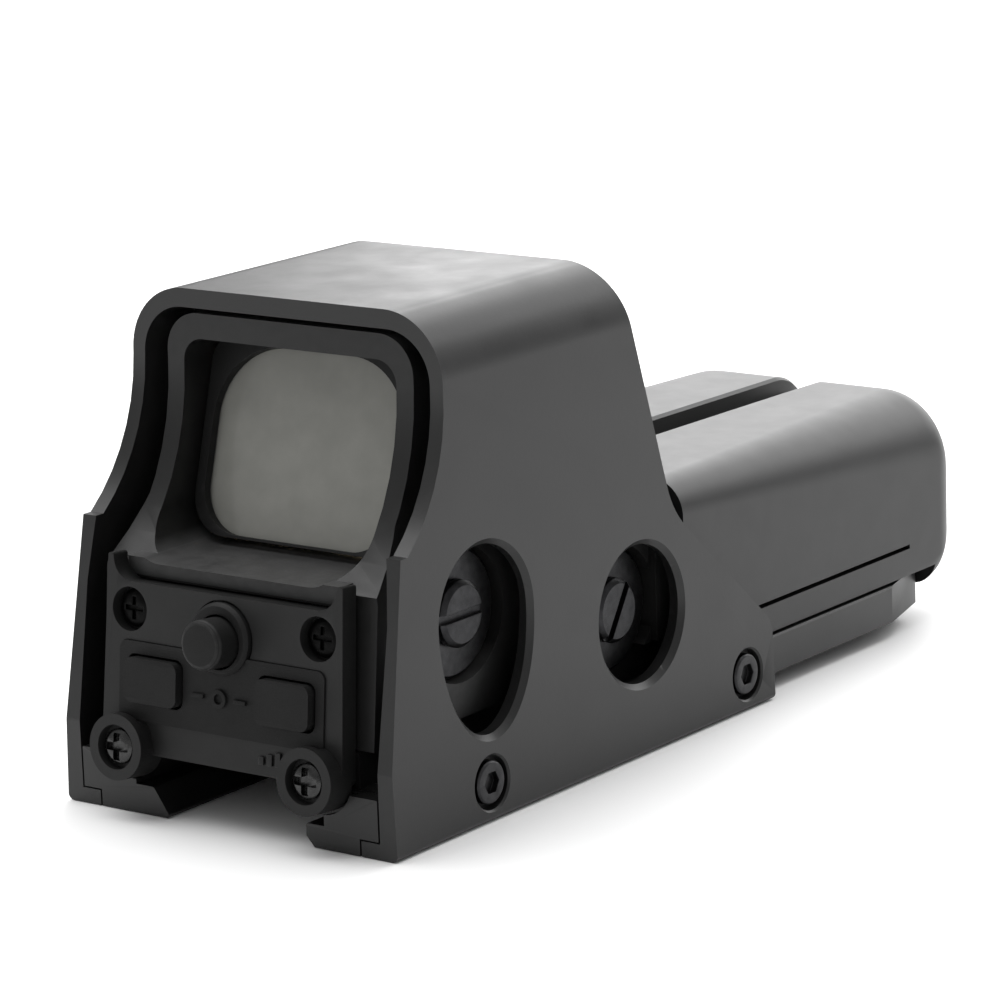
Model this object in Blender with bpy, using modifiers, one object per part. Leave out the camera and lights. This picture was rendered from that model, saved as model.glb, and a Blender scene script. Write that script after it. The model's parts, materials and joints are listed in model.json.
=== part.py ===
"""A hooded, rail-mounted red dot sight, modelled as the separate pieces it is assembled from.

Frame: +X is the user's right, +Y points away from the user towards the battery end, +Z is up.
The design is laid out in millimetres from the hood's lower rear edge (y = 0, z = 0) and its
middle plane (x = 0). Everything hangs on one empty that puts the world origin on the middle of
the flat roof of the rail channel, where the sight rests on its rail.
"""

import math

import bmesh
import bpy
from mathutils import Matrix, Vector

MM = 0.001
ARC_STEP = math.radians(18)  # one facet of a rounded corner

# ---------------------------------------------------------------- driving dimensions, mm
GAP = 0.3  # between pieces that touch

HOOD_HALF_WIDTH = 26.0  # at the bottom edge
HOOD_LENGTH = 82.3
HOOD_HEIGHT = 63.4
HOOD_TAPER = 0.033  # how much each side leans in for each mm of height
HOOD_INNER = ((23.5, 28.0), (22.7, 36.0), (22.1, 61.0))  # half widths of the cavity at three heights
HOOD_RIM_Y = 14.5
HOOD_RIM_CORNER = 8.5
HOOD_SWEEP_TOP = 54.5  # where the rim starts to sweep back down to the notch
HOOD_SWEEP_RADIUS = 24.0
HOOD_NOTCH_Z = 35.9
HOOD_NOTCH_Y = 4.3

SIDE_HOLE_RADIUS = 9.65
REAR_ADJUSTER = (20.3, 25.3)  # y, z of the elevation screw's axis
FRONT_ADJUSTER = (52.8, 18.25)  # y, z of the windage screw's axis
REAR_HOLE_DROP = 15.3  # from that screw's axis down to the lower end of the egg-shaped hole
HOOD_SCREWS_Y = (19.4, 76.0)
HOOD_SCREW_Z = 4.85
COUNTERBORE_RADIUS = 3.4
COUNTERBORE_FLOOR_X = 24.3

SEAT_Z = 7.5  # flat roof of the rail channel
FLANGE_HALF = 23.2
FLANGE_Z = (2.15, 7.4)
FOOT_HALF = 20.35
BASE_TOP = 12.0
BASE_DECK_HALF = 18.8
BASE_END_Y = 128.5
DECK_START_Y = 2.5
DECK_END_Y = 124.0
FACET_START_Y = 116.6
FACET_END_X = 20.0
LIP_Y = (125.8, 126.6)  # the lip that the latch's nose reaches over
FOOT_CUT_Y = 84.0  # ahead of this the foot is narrower
FOOT_FRONT_HALF = 17.0
RAIL_GAP = (-9.0, 12.2)  # hook tip and open jaw tip: 21.2 mm lets the rail pass
RAIL_CHANNEL = (-14.6, 15.0)

HOUSING_BOTTOM = BASE_TOP + GAP
HOUSING_LOW_HALF = 21.2
HOUSING_HIGH_HALF = 19.2
HOUSING_TOP = 60.2
HOUSING_FRAME_Y = 15.3
HOUSING_SWEEP_RADIUS = 30.0
TUNNEL_HALF = 16.6
TUNNEL_Z = (31.3, 57.0)
CHAMBER_HALF = 16.8
CHAMBER_TOP = 29.0
HOUSING_SCREWS_Y = (12.0, 64.0)
BROW_HALF = 16.6  # the ledge behind the dip in the button panel

WINDOW_LEAN = math.atan(0.28)
WINDOW_CENTRE = (19.0, 44.4)  # y, z
WINDOW_APERTURE = (14.9, 12.4, 11.3)  # half width, and how far down and up it reaches
PANE_HALF_HEIGHT = 12.6
LENS_CENTRE = (48.5, 44.4)

PANEL_LEAN = math.atan(0.10)
PANEL_POINT = (0.66, 25.7)  # y, z of the point of the front face that the panel is laid out from
PANEL_THICK = 2.6
PANEL_SCREWS = (14.75, 0.15)
BOSS_CENTRE = (14.8, -16.8)
BOSS_RADIUS = 4.15
BOSS_PROUD = 2.3
ARROW_BUTTON = (10.3, -8.3)  # x and height of its centre on the panel
ARROW_BUTTON_HALF = (4.15, 2.8)
MODE_BUTTON = (0.0, -2.0)
MODE_BUTTON_RADIUS = 3.1
BUTTON_INNER_END = 4.6

CAP_START_Y = 66.0
CAP_END_Y = 136.2
CAP_HALF = 22.95
CAP_TOP = 32.6
CAP_SKIRT_Z = 7.8
CHIN_Z = 4.5  # the front wall reaches lower than the skirt, ahead of the base
CAP_FLOOR_Z = 12.7
CHIN_START_Y = 127.0
CHANNEL_HALF = 3.1
CHANNEL_DEPTH = 3.4
SEAL_CHANNEL_DEPTH = 1.2  # the channel is shallow over the seal
CHANNEL_RAMP_Y = (74.0, 77.0)
CAP_RINGS = 5
CAP_CORNER_STEPS = 4
SLIT_END_Y = 121.9
SLIT_Z = (11.6, 12.2)
CELL_RADIUS = 7.15
CELL_X = 8.6
CELL_Z = 21.9
CELL_Y = (74.0, 124.5)

BOLT_Y = 100.0
BOLT_Z = 4.75
BOLT_RADIUS = 1.9
KNOB_RADIUS = 4.4
JAW_Y = (86.4, 113.6)

LATCH_PIVOT = (130.5, 12.0)
LATCH_HALF = 5.6

SIGHT_ORIGIN = (0.0, 40.0, SEAT_Z)

# name: colour, roughness, metallic
FINISHES = {
    "anodised_shell": ((0.045, 0.045, 0.047), 0.42, 0.6),
    "anodised_housing": ((0.02, 0.02, 0.022), 0.5, 0.6),
    "anodised_base": ((0.03, 0.03, 0.032), 0.45, 0.6),
    "moulded_panel": ((0.018, 0.018, 0.019), 0.55, 0.0),
    "moulded_cap": ((0.05, 0.05, 0.052), 0.5, 0.0),
    "rubber": ((0.012, 0.012, 0.012), 0.75, 0.0),
    "black_steel": ((0.03, 0.03, 0.03), 0.3, 1.0),
    "steel": ((0.55, 0.55, 0.55), 0.25, 1.0),
    "spring_steel": ((0.6, 0.58, 0.55), 0.3, 1.0),
    "brass": ((0.55, 0.4, 0.16), 0.35, 1.0),
    "glass": ((0.35, 0.37, 0.34), 0.05, 0.0),
    "lens_glass": ((0.45, 0.35, 0.2), 0.05, 0.0),
    "board": ((0.02, 0.12, 0.05), 0.5, 0.0),
    "cell_wrap": ((0.1, 0.12, 0.15), 0.4, 0.2),
    "red_led": ((0.6, 0.02, 0.02), 0.2, 0.0),
}


# ---------------------------------------------------------------- scene and helpers
def clear_scene():
    for obj in list(bpy.data.objects):
        bpy.data.objects.remove(obj)
    for collection in list(bpy.data.collections):
        bpy.data.collections.remove(collection)


clear_scene()
PARTS = bpy.data.collections.new("red_dot_sight")
CUTTERS = bpy.data.collections.new("cutters")
bpy.context.scene.collection.children.link(PARTS)
bpy.context.scene.collection.children.link(CUTTERS)


def empty(name, location, tilt=0.0, parent=None):
    """An empty that pieces hang on, tilted about X."""
    obj = bpy.data.objects.new(name, None)
    PARTS.objects.link(obj)
    obj.location = Vector(location) * MM
    obj.rotation_euler = (tilt, 0, 0)
    obj.parent = parent
    return obj


SIGHT = empty("sight_frame", [-value for value in SIGHT_ORIGIN])
PANEL_FRAME = empty("panel_frame", (0, *PANEL_POINT), -PANEL_LEAN, SIGHT)
WINDOW_FRAME = empty("window_frame", (0, *WINDOW_CENTRE), -WINDOW_LEAN, SIGHT)


def material(name):
    found = bpy.data.materials.get(name)
    if found:
        return found
    colour, roughness, metallic = FINISHES[name]
    made = bpy.data.materials.new(name)
    made.use_nodes = True
    shader = made.node_tree.nodes["Principled BSDF"]
    shader.inputs["Base Color"].default_value = (*colour, 1)
    shader.inputs["Roughness"].default_value = roughness
    shader.inputs["Metallic"].default_value = metallic
    return made


def add_object(name, mesh, frame=None):
    """A new object in the cutters' collection, until part() makes a piece of it."""
    obj = bpy.data.objects.new(name, mesh)
    CUTTERS.objects.link(obj)
    obj.parent = frame or SIGHT
    obj.hide_render = True
    obj.display_type = "WIRE"
    return obj


def part(obj, name, finish, pivot=None):
    """Makes the object a visible piece. Its origin goes to pivot, which lies on its joint's axis."""
    obj.name = name
    obj.data.name = name
    obj.data.materials.clear()
    obj.data.materials.append(material(finish))
    obj.hide_render = False
    obj.display_type = "TEXTURED"
    CUTTERS.objects.unlink(obj)
    PARTS.objects.link(obj)
    if pivot:
        shift = Vector(pivot) * MM - obj.location
        obj.data.transform(Matrix.Translation(-(obj.rotation_euler.to_matrix().inverted() @ shift)))
        obj.location += shift
    return obj


def rounded(corners):
    """The points of a closed outline from its corners (u, v, radius), with an arc at each radius."""
    points = []
    for i, (u, v, radius) in enumerate(corners):
        here = Vector((u, v))
        if not radius:
            points.append(here)
            continue
        before = (Vector(corners[i - 1][:2]) - here).normalized()
        after = (Vector(corners[(i + 1) % len(corners)][:2]) - here).normalized()
        half = before.angle(after) / 2
        centre = here + (before + after).normalized() * radius / math.sin(half)
        first = here + before * radius / math.tan(half) - centre
        last = here + after * radius / math.tan(half) - centre
        sweep = math.atan2(first.cross(last), first.dot(last))
        steps = max(2, math.ceil(abs(sweep) / ARC_STEP))
        for k in range(steps + 1):
            points.append(centre + Matrix.Rotation(sweep * k / steps, 2) @ first)
    return points


def arc(centre, radius, start, end, steps):
    """Corners, without rounding, along an arc from one angle to another in degrees."""
    corners = []
    for k in range(steps + 1):
        angle = math.radians(start + (end - start) * k / steps)
        corners.append((centre[0] + radius * math.cos(angle), centre[1] + radius * math.sin(angle), 0))
    return corners


def mirrored(corners):
    """A closed outline from its right half, listed upwards and outside first."""
    return list(corners) + [(-u, v, radius) for u, v, radius in reversed(corners)]


def rectangle(low, high, radius=0):
    corners = (low[0], low[1]), (high[0], low[1]), (high[0], high[1]), (low[0], high[1])
    return [(u, v, radius) for u, v in corners]


def circle(centre, radius, steps=24):
    return arc(centre, radius, 0, 360 - 360 / steps, steps - 1)


PLANES = {
    "XY": Matrix.Identity(4),
    "XZ": Matrix(((1, 0, 0, 0), (0, 0, -1, 0), (0, 1, 0, 0), (0, 0, 0, 1))),
    "YZ": Matrix(((0, 0, 1, 0), (1, 0, 0, 0), (0, 1, 0, 0), (0, 0, 0, 1))),
}


def prism(plane, low, high, *outlines, frame=None):
    """A plate between two depths, from an outer outline and any holes in it."""
    curve = bpy.data.curves.new("outline", "CURVE")
    curve.dimensions = "2D"
    curve.fill_mode = "BOTH"
    curve.extrude = (high - low) / 2 * MM
    for corners in outlines:
        points = rounded(corners)
        spline = curve.splines.new("POLY")
        spline.points.add(len(points) - 1)
        for place, point in zip(spline.points, points):
            place.co = (point.x * MM, point.y * MM, 0, 1)
        spline.use_cyclic_u = True
    guide = bpy.data.objects.new("outline", curve)
    CUTTERS.objects.link(guide)
    graph = bpy.context.evaluated_depsgraph_get()
    mesh = bpy.data.meshes.new_from_object(guide.evaluated_get(graph))
    bpy.data.objects.remove(guide)
    bpy.data.curves.remove(curve)
    middle = (low + high) / 2 * MM * (-1 if plane == "XZ" else 1)
    mesh.transform(PLANES[plane] @ Matrix.Translation((0, 0, middle)))
    weld(mesh)
    return add_object("plate", mesh, frame)


def weld(mesh):
    shape = bmesh.new()
    shape.from_mesh(mesh)
    bmesh.ops.remove_doubles(shape, verts=shape.verts, dist=1e-7)
    bmesh.ops.recalc_face_normals(shape, faces=shape.faces)
    shape.to_mesh(mesh)
    shape.free()


def box(low, high, frame=None):
    shape = bmesh.new()
    bmesh.ops.create_cube(shape, size=1)
    size = (Vector(high) - Vector(low)) * MM
    centre = (Vector(high) + Vector(low)) / 2 * MM
    place = Matrix.Translation(centre) @ Matrix.Diagonal((*size, 1))
    bmesh.ops.transform(shape, matrix=place, verts=shape.verts)
    return add_object("block", mesh_of(shape), frame)


def mesh_of(shape):
    mesh = bpy.data.meshes.new("shape")
    shape.to_mesh(mesh)
    shape.free()
    return mesh


TURNS = {
    "X": Matrix.Rotation(math.pi / 2, 4, "Y"),
    "Y": Matrix.Rotation(-math.pi / 2, 4, "X"),
    "Z": Matrix.Identity(4),
}


def cylinder(axis, centre, radius, low, high, frame=None, steps=20):
    """A cylinder along an axis: centre holds its two other coordinates, low and high its ends."""
    shape = bmesh.new()
    wide, deep = radius * MM, (high - low) * MM
    bmesh.ops.create_cone(shape, cap_ends=True, segments=steps, radius1=wide, radius2=wide, depth=deep)
    bmesh.ops.transform(shape, matrix=TURNS[axis], verts=shape.verts)
    middle = (low + high) / 2
    place = {
        "X": (middle, centre[0], centre[1]),
        "Y": (centre[0], middle, centre[1]),
        "Z": (centre[0], centre[1], middle),
    }[axis]
    bmesh.ops.translate(shape, vec=Vector(place) * MM, verts=shape.verts)
    obj = add_object("rod", mesh_of(shape), frame)
    smooth(obj)
    return obj


def smooth(obj):
    obj.data.shade_smooth()
    obj.data.set_sharp_from_angle(angle=math.radians(30))


def turned(axis, at, profile, frame=None, steps=20, flip=False):
    """A turned piece: profile is (radius, height along the axis), from its top down to its bottom."""
    mesh = bpy.data.meshes.new("profile")
    points = [(radius * MM, 0, height * MM) for radius, height in profile]
    mesh.from_pydata(points, [(i, i + 1) for i in range(len(points) - 1)], [])
    obj = add_object("turned", mesh, frame)
    turn = obj.modifiers.new("Turn", "SCREW")
    turn.steps = steps
    turn.render_steps = steps
    turn.use_merge_vertices = True
    turn.merge_threshold = 1e-6
    turn.use_smooth_shade = False
    graph = bpy.context.evaluated_depsgraph_get()
    made = bpy.data.meshes.new_from_object(obj.evaluated_get(graph))
    bpy.data.objects.remove(obj)
    turned_about = TURNS[axis] @ Matrix.Rotation(math.pi if flip else 0, 4, "Y")
    made.transform(Matrix.Translation(Vector(at) * MM) @ turned_about)
    weld(made)
    obj = add_object("turned", made, frame)
    smooth(obj)
    return obj


def boolean(target, operation, others):
    for other in others:
        modifier = target.modifiers.new(operation.title(), "BOOLEAN")
        modifier.operation = operation
        modifier.solver = "EXACT"
        modifier.object = other
    return target


def cut(target, *others):
    return boolean(target, "DIFFERENCE", others)


def fuse(target, *others):
    return boolean(target, "UNION", others)


def common(target, *others):
    return boolean(target, "INTERSECT", others)


# ---------------------------------------------------------------- hood and its screws
def hood_side_profile():
    """The hood seen from the side: (y, z) corners."""
    sweep_centre = (HOOD_RIM_Y - HOOD_SWEEP_RADIUS, HOOD_SWEEP_TOP)
    sweep_end = math.degrees(math.asin((HOOD_SWEEP_TOP - HOOD_NOTCH_Z) / HOOD_SWEEP_RADIUS))
    return [
        (0, 0, 0),
        (HOOD_LENGTH, 0, 0.6),
        (HOOD_LENGTH, 10.7, 4),
        (60.7, 30.0, 12),
        (51.2, HOOD_HEIGHT + 1, 0),
        (HOOD_RIM_Y, HOOD_HEIGHT + 1, 0),
        *arc(sweep_centre, HOOD_SWEEP_RADIUS, 0, -sweep_end, 7),
        (HOOD_NOTCH_Y, HOOD_NOTCH_Z, 0),
        (0, 10.5, 3),
    ]


def adjuster_hole_outlines():
    """The egg-shaped rear hole and the round front hole: (y, z) corners."""
    y, z = REAR_ADJUSTER
    egg = arc((y, z), SIDE_HOLE_RADIUS, 0, 180, 10)
    for k in range(1, 10):
        angle = math.pi * (1 + k / 10)
        egg.append((y + SIDE_HOLE_RADIUS * math.cos(angle), z + REAR_HOLE_DROP * math.sin(angle), 0))
    return egg, circle(FRONT_ADJUSTER, SIDE_HOLE_RADIUS)


def make_hood():
    top_half = HOOD_HALF_WIDTH - HOOD_TAPER * HOOD_HEIGHT
    outside = mirrored([(HOOD_HALF_WIDTH, 0, 0.8), (top_half, HOOD_HEIGHT, HOOD_RIM_CORNER)])
    inside = mirrored(
        [
            (FOOT_HALF + 0.25, -1, 0),
            (FOOT_HALF + 0.25, FLANGE_Z[0] - 0.2, 0),
            (FLANGE_HALF + 0.25, FLANGE_Z[0] - 0.2, 0),
            (FLANGE_HALF + 0.25, FLANGE_Z[1] + 0.25, 0),
            (*HOOD_INNER[0], 0),
            (*HOOD_INNER[1], 0),
            (*HOOD_INNER[2], 6.3),
        ]
    )
    hood = prism("XZ", -1, HOOD_LENGTH + 1, outside)
    common(hood, prism("YZ", -30, 30, hood_side_profile()))
    cut(hood, prism("XZ", -2, HOOD_LENGTH + 2, inside))
    for outline in adjuster_hole_outlines():
        cut(hood, prism("YZ", 20, 30, outline))
    for y in HOOD_SCREWS_Y:
        for side in (-1, 1):
            ends = sorted((side * COUNTERBORE_FLOOR_X, side * 30))
            cut(hood, cylinder("X", (y, HOOD_SCREW_Z), COUNTERBORE_RADIUS, *ends))
            ends = sorted((side * 22, side * 27))
            cut(hood, cylinder("X", (y, HOOD_SCREW_Z), 1.7, *ends, steps=12))
    part(hood, "hood", "anodised_shell")


def make_hood_screws():
    """Low socket-head screws: a hexagonal socket faces outwards on each side of the hood."""
    for y, end in zip(HOOD_SCREWS_Y, ("rear", "front")):
        for side, hand in ((-1, "left"), (1, "right")):
            profile = [(0, 1.35), (2.5, 1.35), (2.75, 1.1), (2.75, 0), (1.45, 0), (1.45, -4.2), (0, -4.2)]
            at = (side * (COUNTERBORE_FLOOR_X + 0.1), y, HOOD_SCREW_Z)
            screw = turned("X", at, profile, flip=side < 0)
            ends = sorted((side * (COUNTERBORE_FLOOR_X + 0.6), side * 27))
            cut(screw, cylinder("X", (y, HOOD_SCREW_Z), 1.5, *ends, steps=6))
            part(screw, f"hood_screw_{hand}_{end}", "black_steel")


# ---------------------------------------------------------------- base and rail clamp
def make_base():
    left, right = RAIL_CHANNEL
    tip_left, tip_right = RAIL_GAP
    section = [
        (-FOOT_HALF, 0, 0),
        (tip_left - 0.2, 0, 0.4),
        (-11.8, 3.7, 0.5),
        (left, 3.7, 0),
        (left, SEAT_Z, 0),
        (right, SEAT_Z, 0),
        (right, 2.9, 0),
        (tip_right, 2.9, 0.3),
        (tip_right, 1.3, 0),
        (tip_right + 1.2, 0, 0),
        (FOOT_HALF, 0, 0),
        (FOOT_HALF, FLANGE_Z[0], 0),
        (FLANGE_HALF, FLANGE_Z[0], 0),
        (FLANGE_HALF, FLANGE_Z[1], 0.3),
        (BASE_DECK_HALF, FLANGE_Z[1], 0),
        (BASE_DECK_HALF, BASE_TOP, 0),
        (-BASE_DECK_HALF, BASE_TOP, 0),
        (-BASE_DECK_HALF, FLANGE_Z[1], 0),
        (-FLANGE_HALF, FLANGE_Z[1], 0.3),
        (-FLANGE_HALF, FLANGE_Z[0], 0),
        (-FOOT_HALF, FLANGE_Z[0], 0),
    ]
    base = prism("XZ", 0, BASE_END_Y, section)
    plan = [
        (-30, -1, 0),
        (30, -1, 0),
        (30, FACET_START_Y, 0),
        (FLANGE_HALF, FACET_START_Y, 0),
        (FACET_END_X, BASE_END_Y, 1.2),
        (-FACET_END_X, BASE_END_Y, 1.2),
        (-FLANGE_HALF, FACET_START_Y, 0),
        (-30, FACET_START_Y, 0),
    ]
    common(base, prism("XY", -1, 20, plan))
    end = BASE_END_Y + 1
    side = [(-1, -1, 0), (end - 3.5, -1, 0), (end, 2.6, 0), (end, 20, 0), (-1, 20, 0)]
    common(base, prism("YZ", -30, 30, side))
    cut(base, box((-25, -1, FLANGE_Z[1] - 0.1), (25, DECK_START_Y, 20)))
    cut(base, box((-25, DECK_END_Y, 9.6), (25, 140, 20)))
    fuse(base, box((-4.5, LIP_Y[0], 9.0), (4.5, LIP_Y[1], 10.6)))
    for side_sign in (-1, 1):
        ends = sorted((side_sign * FOOT_FRONT_HALF, side_sign * 30))
        cut(base, box((ends[0], FOOT_CUT_Y, -1), (ends[1], 140, FLANGE_Z[0] + 0.05)))
    for side_sign in (-1, 1):
        boss = (side_sign * BOSS_CENTRE[0], BOSS_CENTRE[1])
        cut(base, cylinder("Y", boss, BOSS_RADIUS + 0.4, -5, 3.0, frame=PANEL_FRAME))
        cut(base, cylinder("Y", boss, 1.7, 0, 12, frame=PANEL_FRAME, steps=12))
        for y in HOOD_SCREWS_Y:
            ends = sorted((side_sign * 18.5, side_sign * 25))
            cut(base, cylinder("X", (y, HOOD_SCREW_Z), 1.7, *ends, steps=12))
    cut(base, cylinder("X", (BOLT_Y, BOLT_Z), BOLT_RADIUS + 0.2, -30, 21.5))
    cut(base, box((tip_right - 1, JAW_Y[0] - 0.4, -1), (20.0, JAW_Y[1] + 0.4, 7.3)))
    for y in HOUSING_SCREWS_Y:
        cut(base, cylinder("Z", (0, y), 3.1, 5, 9.6))
        cut(base, cylinder("Z", (0, y), 1.7, 5, 14, steps=12))
    part(base, "base", "anodised_base")


def make_housing_screws():
    """Screws that come up through the channel roof, one into the housing and one into the battery block."""
    for y, name in zip(HOUSING_SCREWS_Y, ("rear", "front")):
        profile = [(0, 7.0), (1.35, 7.0), (1.35, 1.8), (2.8, 1.8), (2.8, 0.3), (2.5, 0), (0, 0)]
        screw = turned("Z", (0, y, SEAT_Z + 0.1), profile, steps=12)
        cut(screw, cylinder("Z", (0, y), 1.3, 5, SEAT_Z + 1.0, steps=6))
        part(screw, f"base_screw_{name}", "black_steel")


def make_clamp():
    """The jaw that moves in from the right, its cross bolt and the slotted head on the left."""
    tip = RAIL_GAP[1]
    section = [
        (16.6, 0.3, 0),
        (16.6, 2.5, 0),
        (19.6, 2.5, 0),
        (19.6, 7.0, 0),
        (tip + 2.8, 7.0, 0),
        (tip + 2.8, 3.9, 0),
        (tip, 0.8, 0),
        (tip + 0.5, 0.3, 0),
    ]
    jaw = prism("XZ", *JAW_Y, section[::-1])
    cut(jaw, cylinder("X", (BOLT_Y, BOLT_Z), BOLT_RADIUS + 0.15, 5, 25))
    part(jaw, "clamp_jaw", "black_steel")

    bolt = cylinder("X", (BOLT_Y, BOLT_Z), BOLT_RADIUS, -FLANGE_HALF - 0.6, 19.2)
    part(bolt, "clamp_bolt", "steel", (0, BOLT_Y, BOLT_Z))

    head_x = -FLANGE_HALF - 0.5
    head = [(0, 5.3), (4.2, 5.3), (KNOB_RADIUS, 4.7), (KNOB_RADIUS, 0.6), (4.3, 0), (0, 0)]
    knob = turned("X", (head_x, BOLT_Y, BOLT_Z), head, steps=24, flip=True)
    ridges = []
    for k in range(24):
        angle = math.radians(15 * k + 7)
        radius = KNOB_RADIUS + (0.3 if k % 2 else -0.35)
        ridges.append((BOLT_Y + radius * math.cos(angle), BOLT_Z + radius * math.sin(angle), 0))
    common(knob, prism("YZ", head_x - 8, head_x + 3, ridges))
    cut(knob, box((head_x - 7, BOLT_Y - 0.8, -1), (head_x - 3.6, BOLT_Y + 0.8, 12)))
    cut(knob, cylinder("X", (BOLT_Y, BOLT_Z), BOLT_RADIUS + 0.1, head_x - 1.5, head_x + 2))
    part(knob, "clamp_knob", "black_steel", (head_x, BOLT_Y, BOLT_Z))


# ---------------------------------------------------------------- optical housing, window and lens
def housing_side_profile():
    sweep_centre = (HOUSING_FRAME_Y - HOUSING_SWEEP_RADIUS, 54.0)
    sweep_end = math.degrees(math.asin((54.0 - TUNNEL_Z[0]) / HOUSING_SWEEP_RADIUS))
    return [
        (2.4, HOUSING_BOTTOM, 0),
        (60.5, HOUSING_BOTTOM, 0),
        (60.5, 27.0, 0),
        (59.0, TUNNEL_Z[0], 0),
        (51.4, HOUSING_TOP + 1, 0),
        (HOUSING_FRAME_Y, HOUSING_TOP + 1, 0),
        *arc(sweep_centre, HOUSING_SWEEP_RADIUS, 0, -sweep_end, 7),
        (4.3, TUNNEL_Z[0] - 0.5, 0),
    ]


def make_optical_housing():
    outside = mirrored(
        [
            (HOUSING_LOW_HALF, HOUSING_BOTTOM, 0),
            (HOUSING_LOW_HALF, 30.0, 0),
            (HOUSING_HIGH_HALF, 38.0, 0),
            (HOUSING_HIGH_HALF, HOUSING_TOP, 5.0),
        ]
    )
    housing = prism("XZ", 0, 62, outside)
    common(housing, prism("YZ", -25, 25, housing_side_profile()))
    brow = mirrored([(BROW_HALF, 29.65, 1.9), (BROW_HALF, TUNNEL_Z[0] + 0.6, 0)])
    fuse(housing, prism("XZ", 3.0, 6.0, brow))
    tunnel = mirrored([(TUNNEL_HALF, TUNNEL_Z[0], 5.0), (TUNNEL_HALF, TUNNEL_Z[1], 3.0)])
    cut(housing, prism("XZ", -5, 70, tunnel))
    cut(housing, box((-CHAMBER_HALF, -5, 5), (CHAMBER_HALF, 58.0, CHAMBER_TOP)))
    cut(housing, box((-4.6, 22.5, CHAMBER_TOP - 1), (4.6, 33.5, TUNNEL_Z[0] + 1)))
    for y, z in (REAR_ADJUSTER, FRONT_ADJUSTER):
        cut(housing, cylinder("X", (y, z), 8.6, 19.0, 25))
        cut(housing, cylinder("X", (y, z), 4.8, 10, 25))
    shelf = box((-CHAMBER_HALF - 0.5, 8.8, HOUSING_BOTTOM), (CHAMBER_HALF + 0.5, 15.5, HOUSING_BOTTOM + 1.8))
    fuse(housing, shelf)
    cut(housing, cylinder("Z", (0, HOUSING_SCREWS_Y[0]), 1.6, 10, 16, steps=12))
    for side in (-1, 1):
        x, z = side * PANEL_SCREWS[0], PANEL_POINT[1]
        fuse(housing, box((x - 2.4, 4.4, z - 2.6), (x + 2.4, 7.0, CHAMBER_TOP + 0.5)))
        cut(housing, cylinder("Y", (x, PANEL_SCREWS[1]), 1.4, 0, 12, frame=PANEL_FRAME, steps=12))
    part(housing, "optical_housing", "anodised_housing")


def pane_outline(margin, drop=0.0):
    """An outline that fills the tunnel about the window's middle; drop lengthens it downwards."""
    wide = TUNNEL_HALF - margin
    return mirrored([(wide, margin - PANE_HALF_HEIGHT - drop, 5.2), (wide, PANE_HALF_HEIGHT - margin, 3.2)])


def make_windows():
    wide, down, up = WINDOW_APERTURE
    aperture = mirrored([(wide, -down, 6.0), (wide, up, 9.3)])
    bezel = prism("XZ", -1.2, 0, pane_outline(0.35, 0.5), aperture, frame=WINDOW_FRAME)
    part(bezel, "window_bezel", "moulded_panel")
    window = prism("XZ", 0.3, 2.3, pane_outline(0.5, 0.5), frame=WINDOW_FRAME)
    part(window, "rear_window", "glass")

    middle = LENS_CENTRE[1]
    outer = [(u, v + middle, radius) for u, v, radius in pane_outline(0.3)]
    opening = mirrored([(14.4, middle - 10.4, 4.0), (14.4, middle + 10.4, 4.0)])
    rebate = mirrored([(15.6, middle - 11.5, 3.0), (15.6, middle + 11.5, 3.0)])
    carrier = prism("XZ", LENS_CENTRE[0] - 3.5, LENS_CENTRE[0] + 1.6, outer, opening)
    cut(carrier, prism("XZ", LENS_CENTRE[0] - 2.2, LENS_CENTRE[0] + 3, rebate))
    part(carrier, "lens_carrier", "moulded_panel")
    lens_outline = mirrored([(15.3, middle - 11.2, 2.8), (15.3, middle + 11.2, 2.8)])
    lens = prism("XZ", LENS_CENTRE[0] - 1.9, LENS_CENTRE[0] + 1.3, lens_outline)
    part(lens, "reflector_lens", "lens_glass")


# ---------------------------------------------------------------- adjusters and emitter
def make_adjusters():
    adjusters = (REAR_ADJUSTER, "elevation", 9.5), (FRONT_ADJUSTER, "windage", 5.5)
    for (y, z), name, inner_end in adjusters:
        rim = [(0, 20.0), (7.9, 20.0), (8.25, 19.65), (8.25, 19.3), (4.5, 19.3), (4.5, 16.4), (0, 16.4)]
        bushing = turned("X", (0, y, z), rim)
        cut(bushing, cylinder("X", (y, z), 2.5, 10, 25))
        part(bushing, f"{name}_bushing", "black_steel")
        head = [(0, 21.75), (3.6, 21.75), (4.2, 21.2), (4.2, 20.3)]
        head += [(2.25, 20.3), (2.25, inner_end), (0, inner_end)]
        screw = turned("X", (0, y, z), head)
        slot = box((21.0, y - 6, z - 0.55), (24, y + 6, z + 0.55))
        if name == "windage":
            tilt = Matrix.Rotation(math.radians(57), 4, "X")
            here = Vector((0, y, z)) * MM
            slot.data.transform(Matrix.Translation(here) @ tilt @ Matrix.Translation(-here))
        cut(screw, slot)
        part(screw, f"{name}_screw", "steel", (20.3, y, z))


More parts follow.
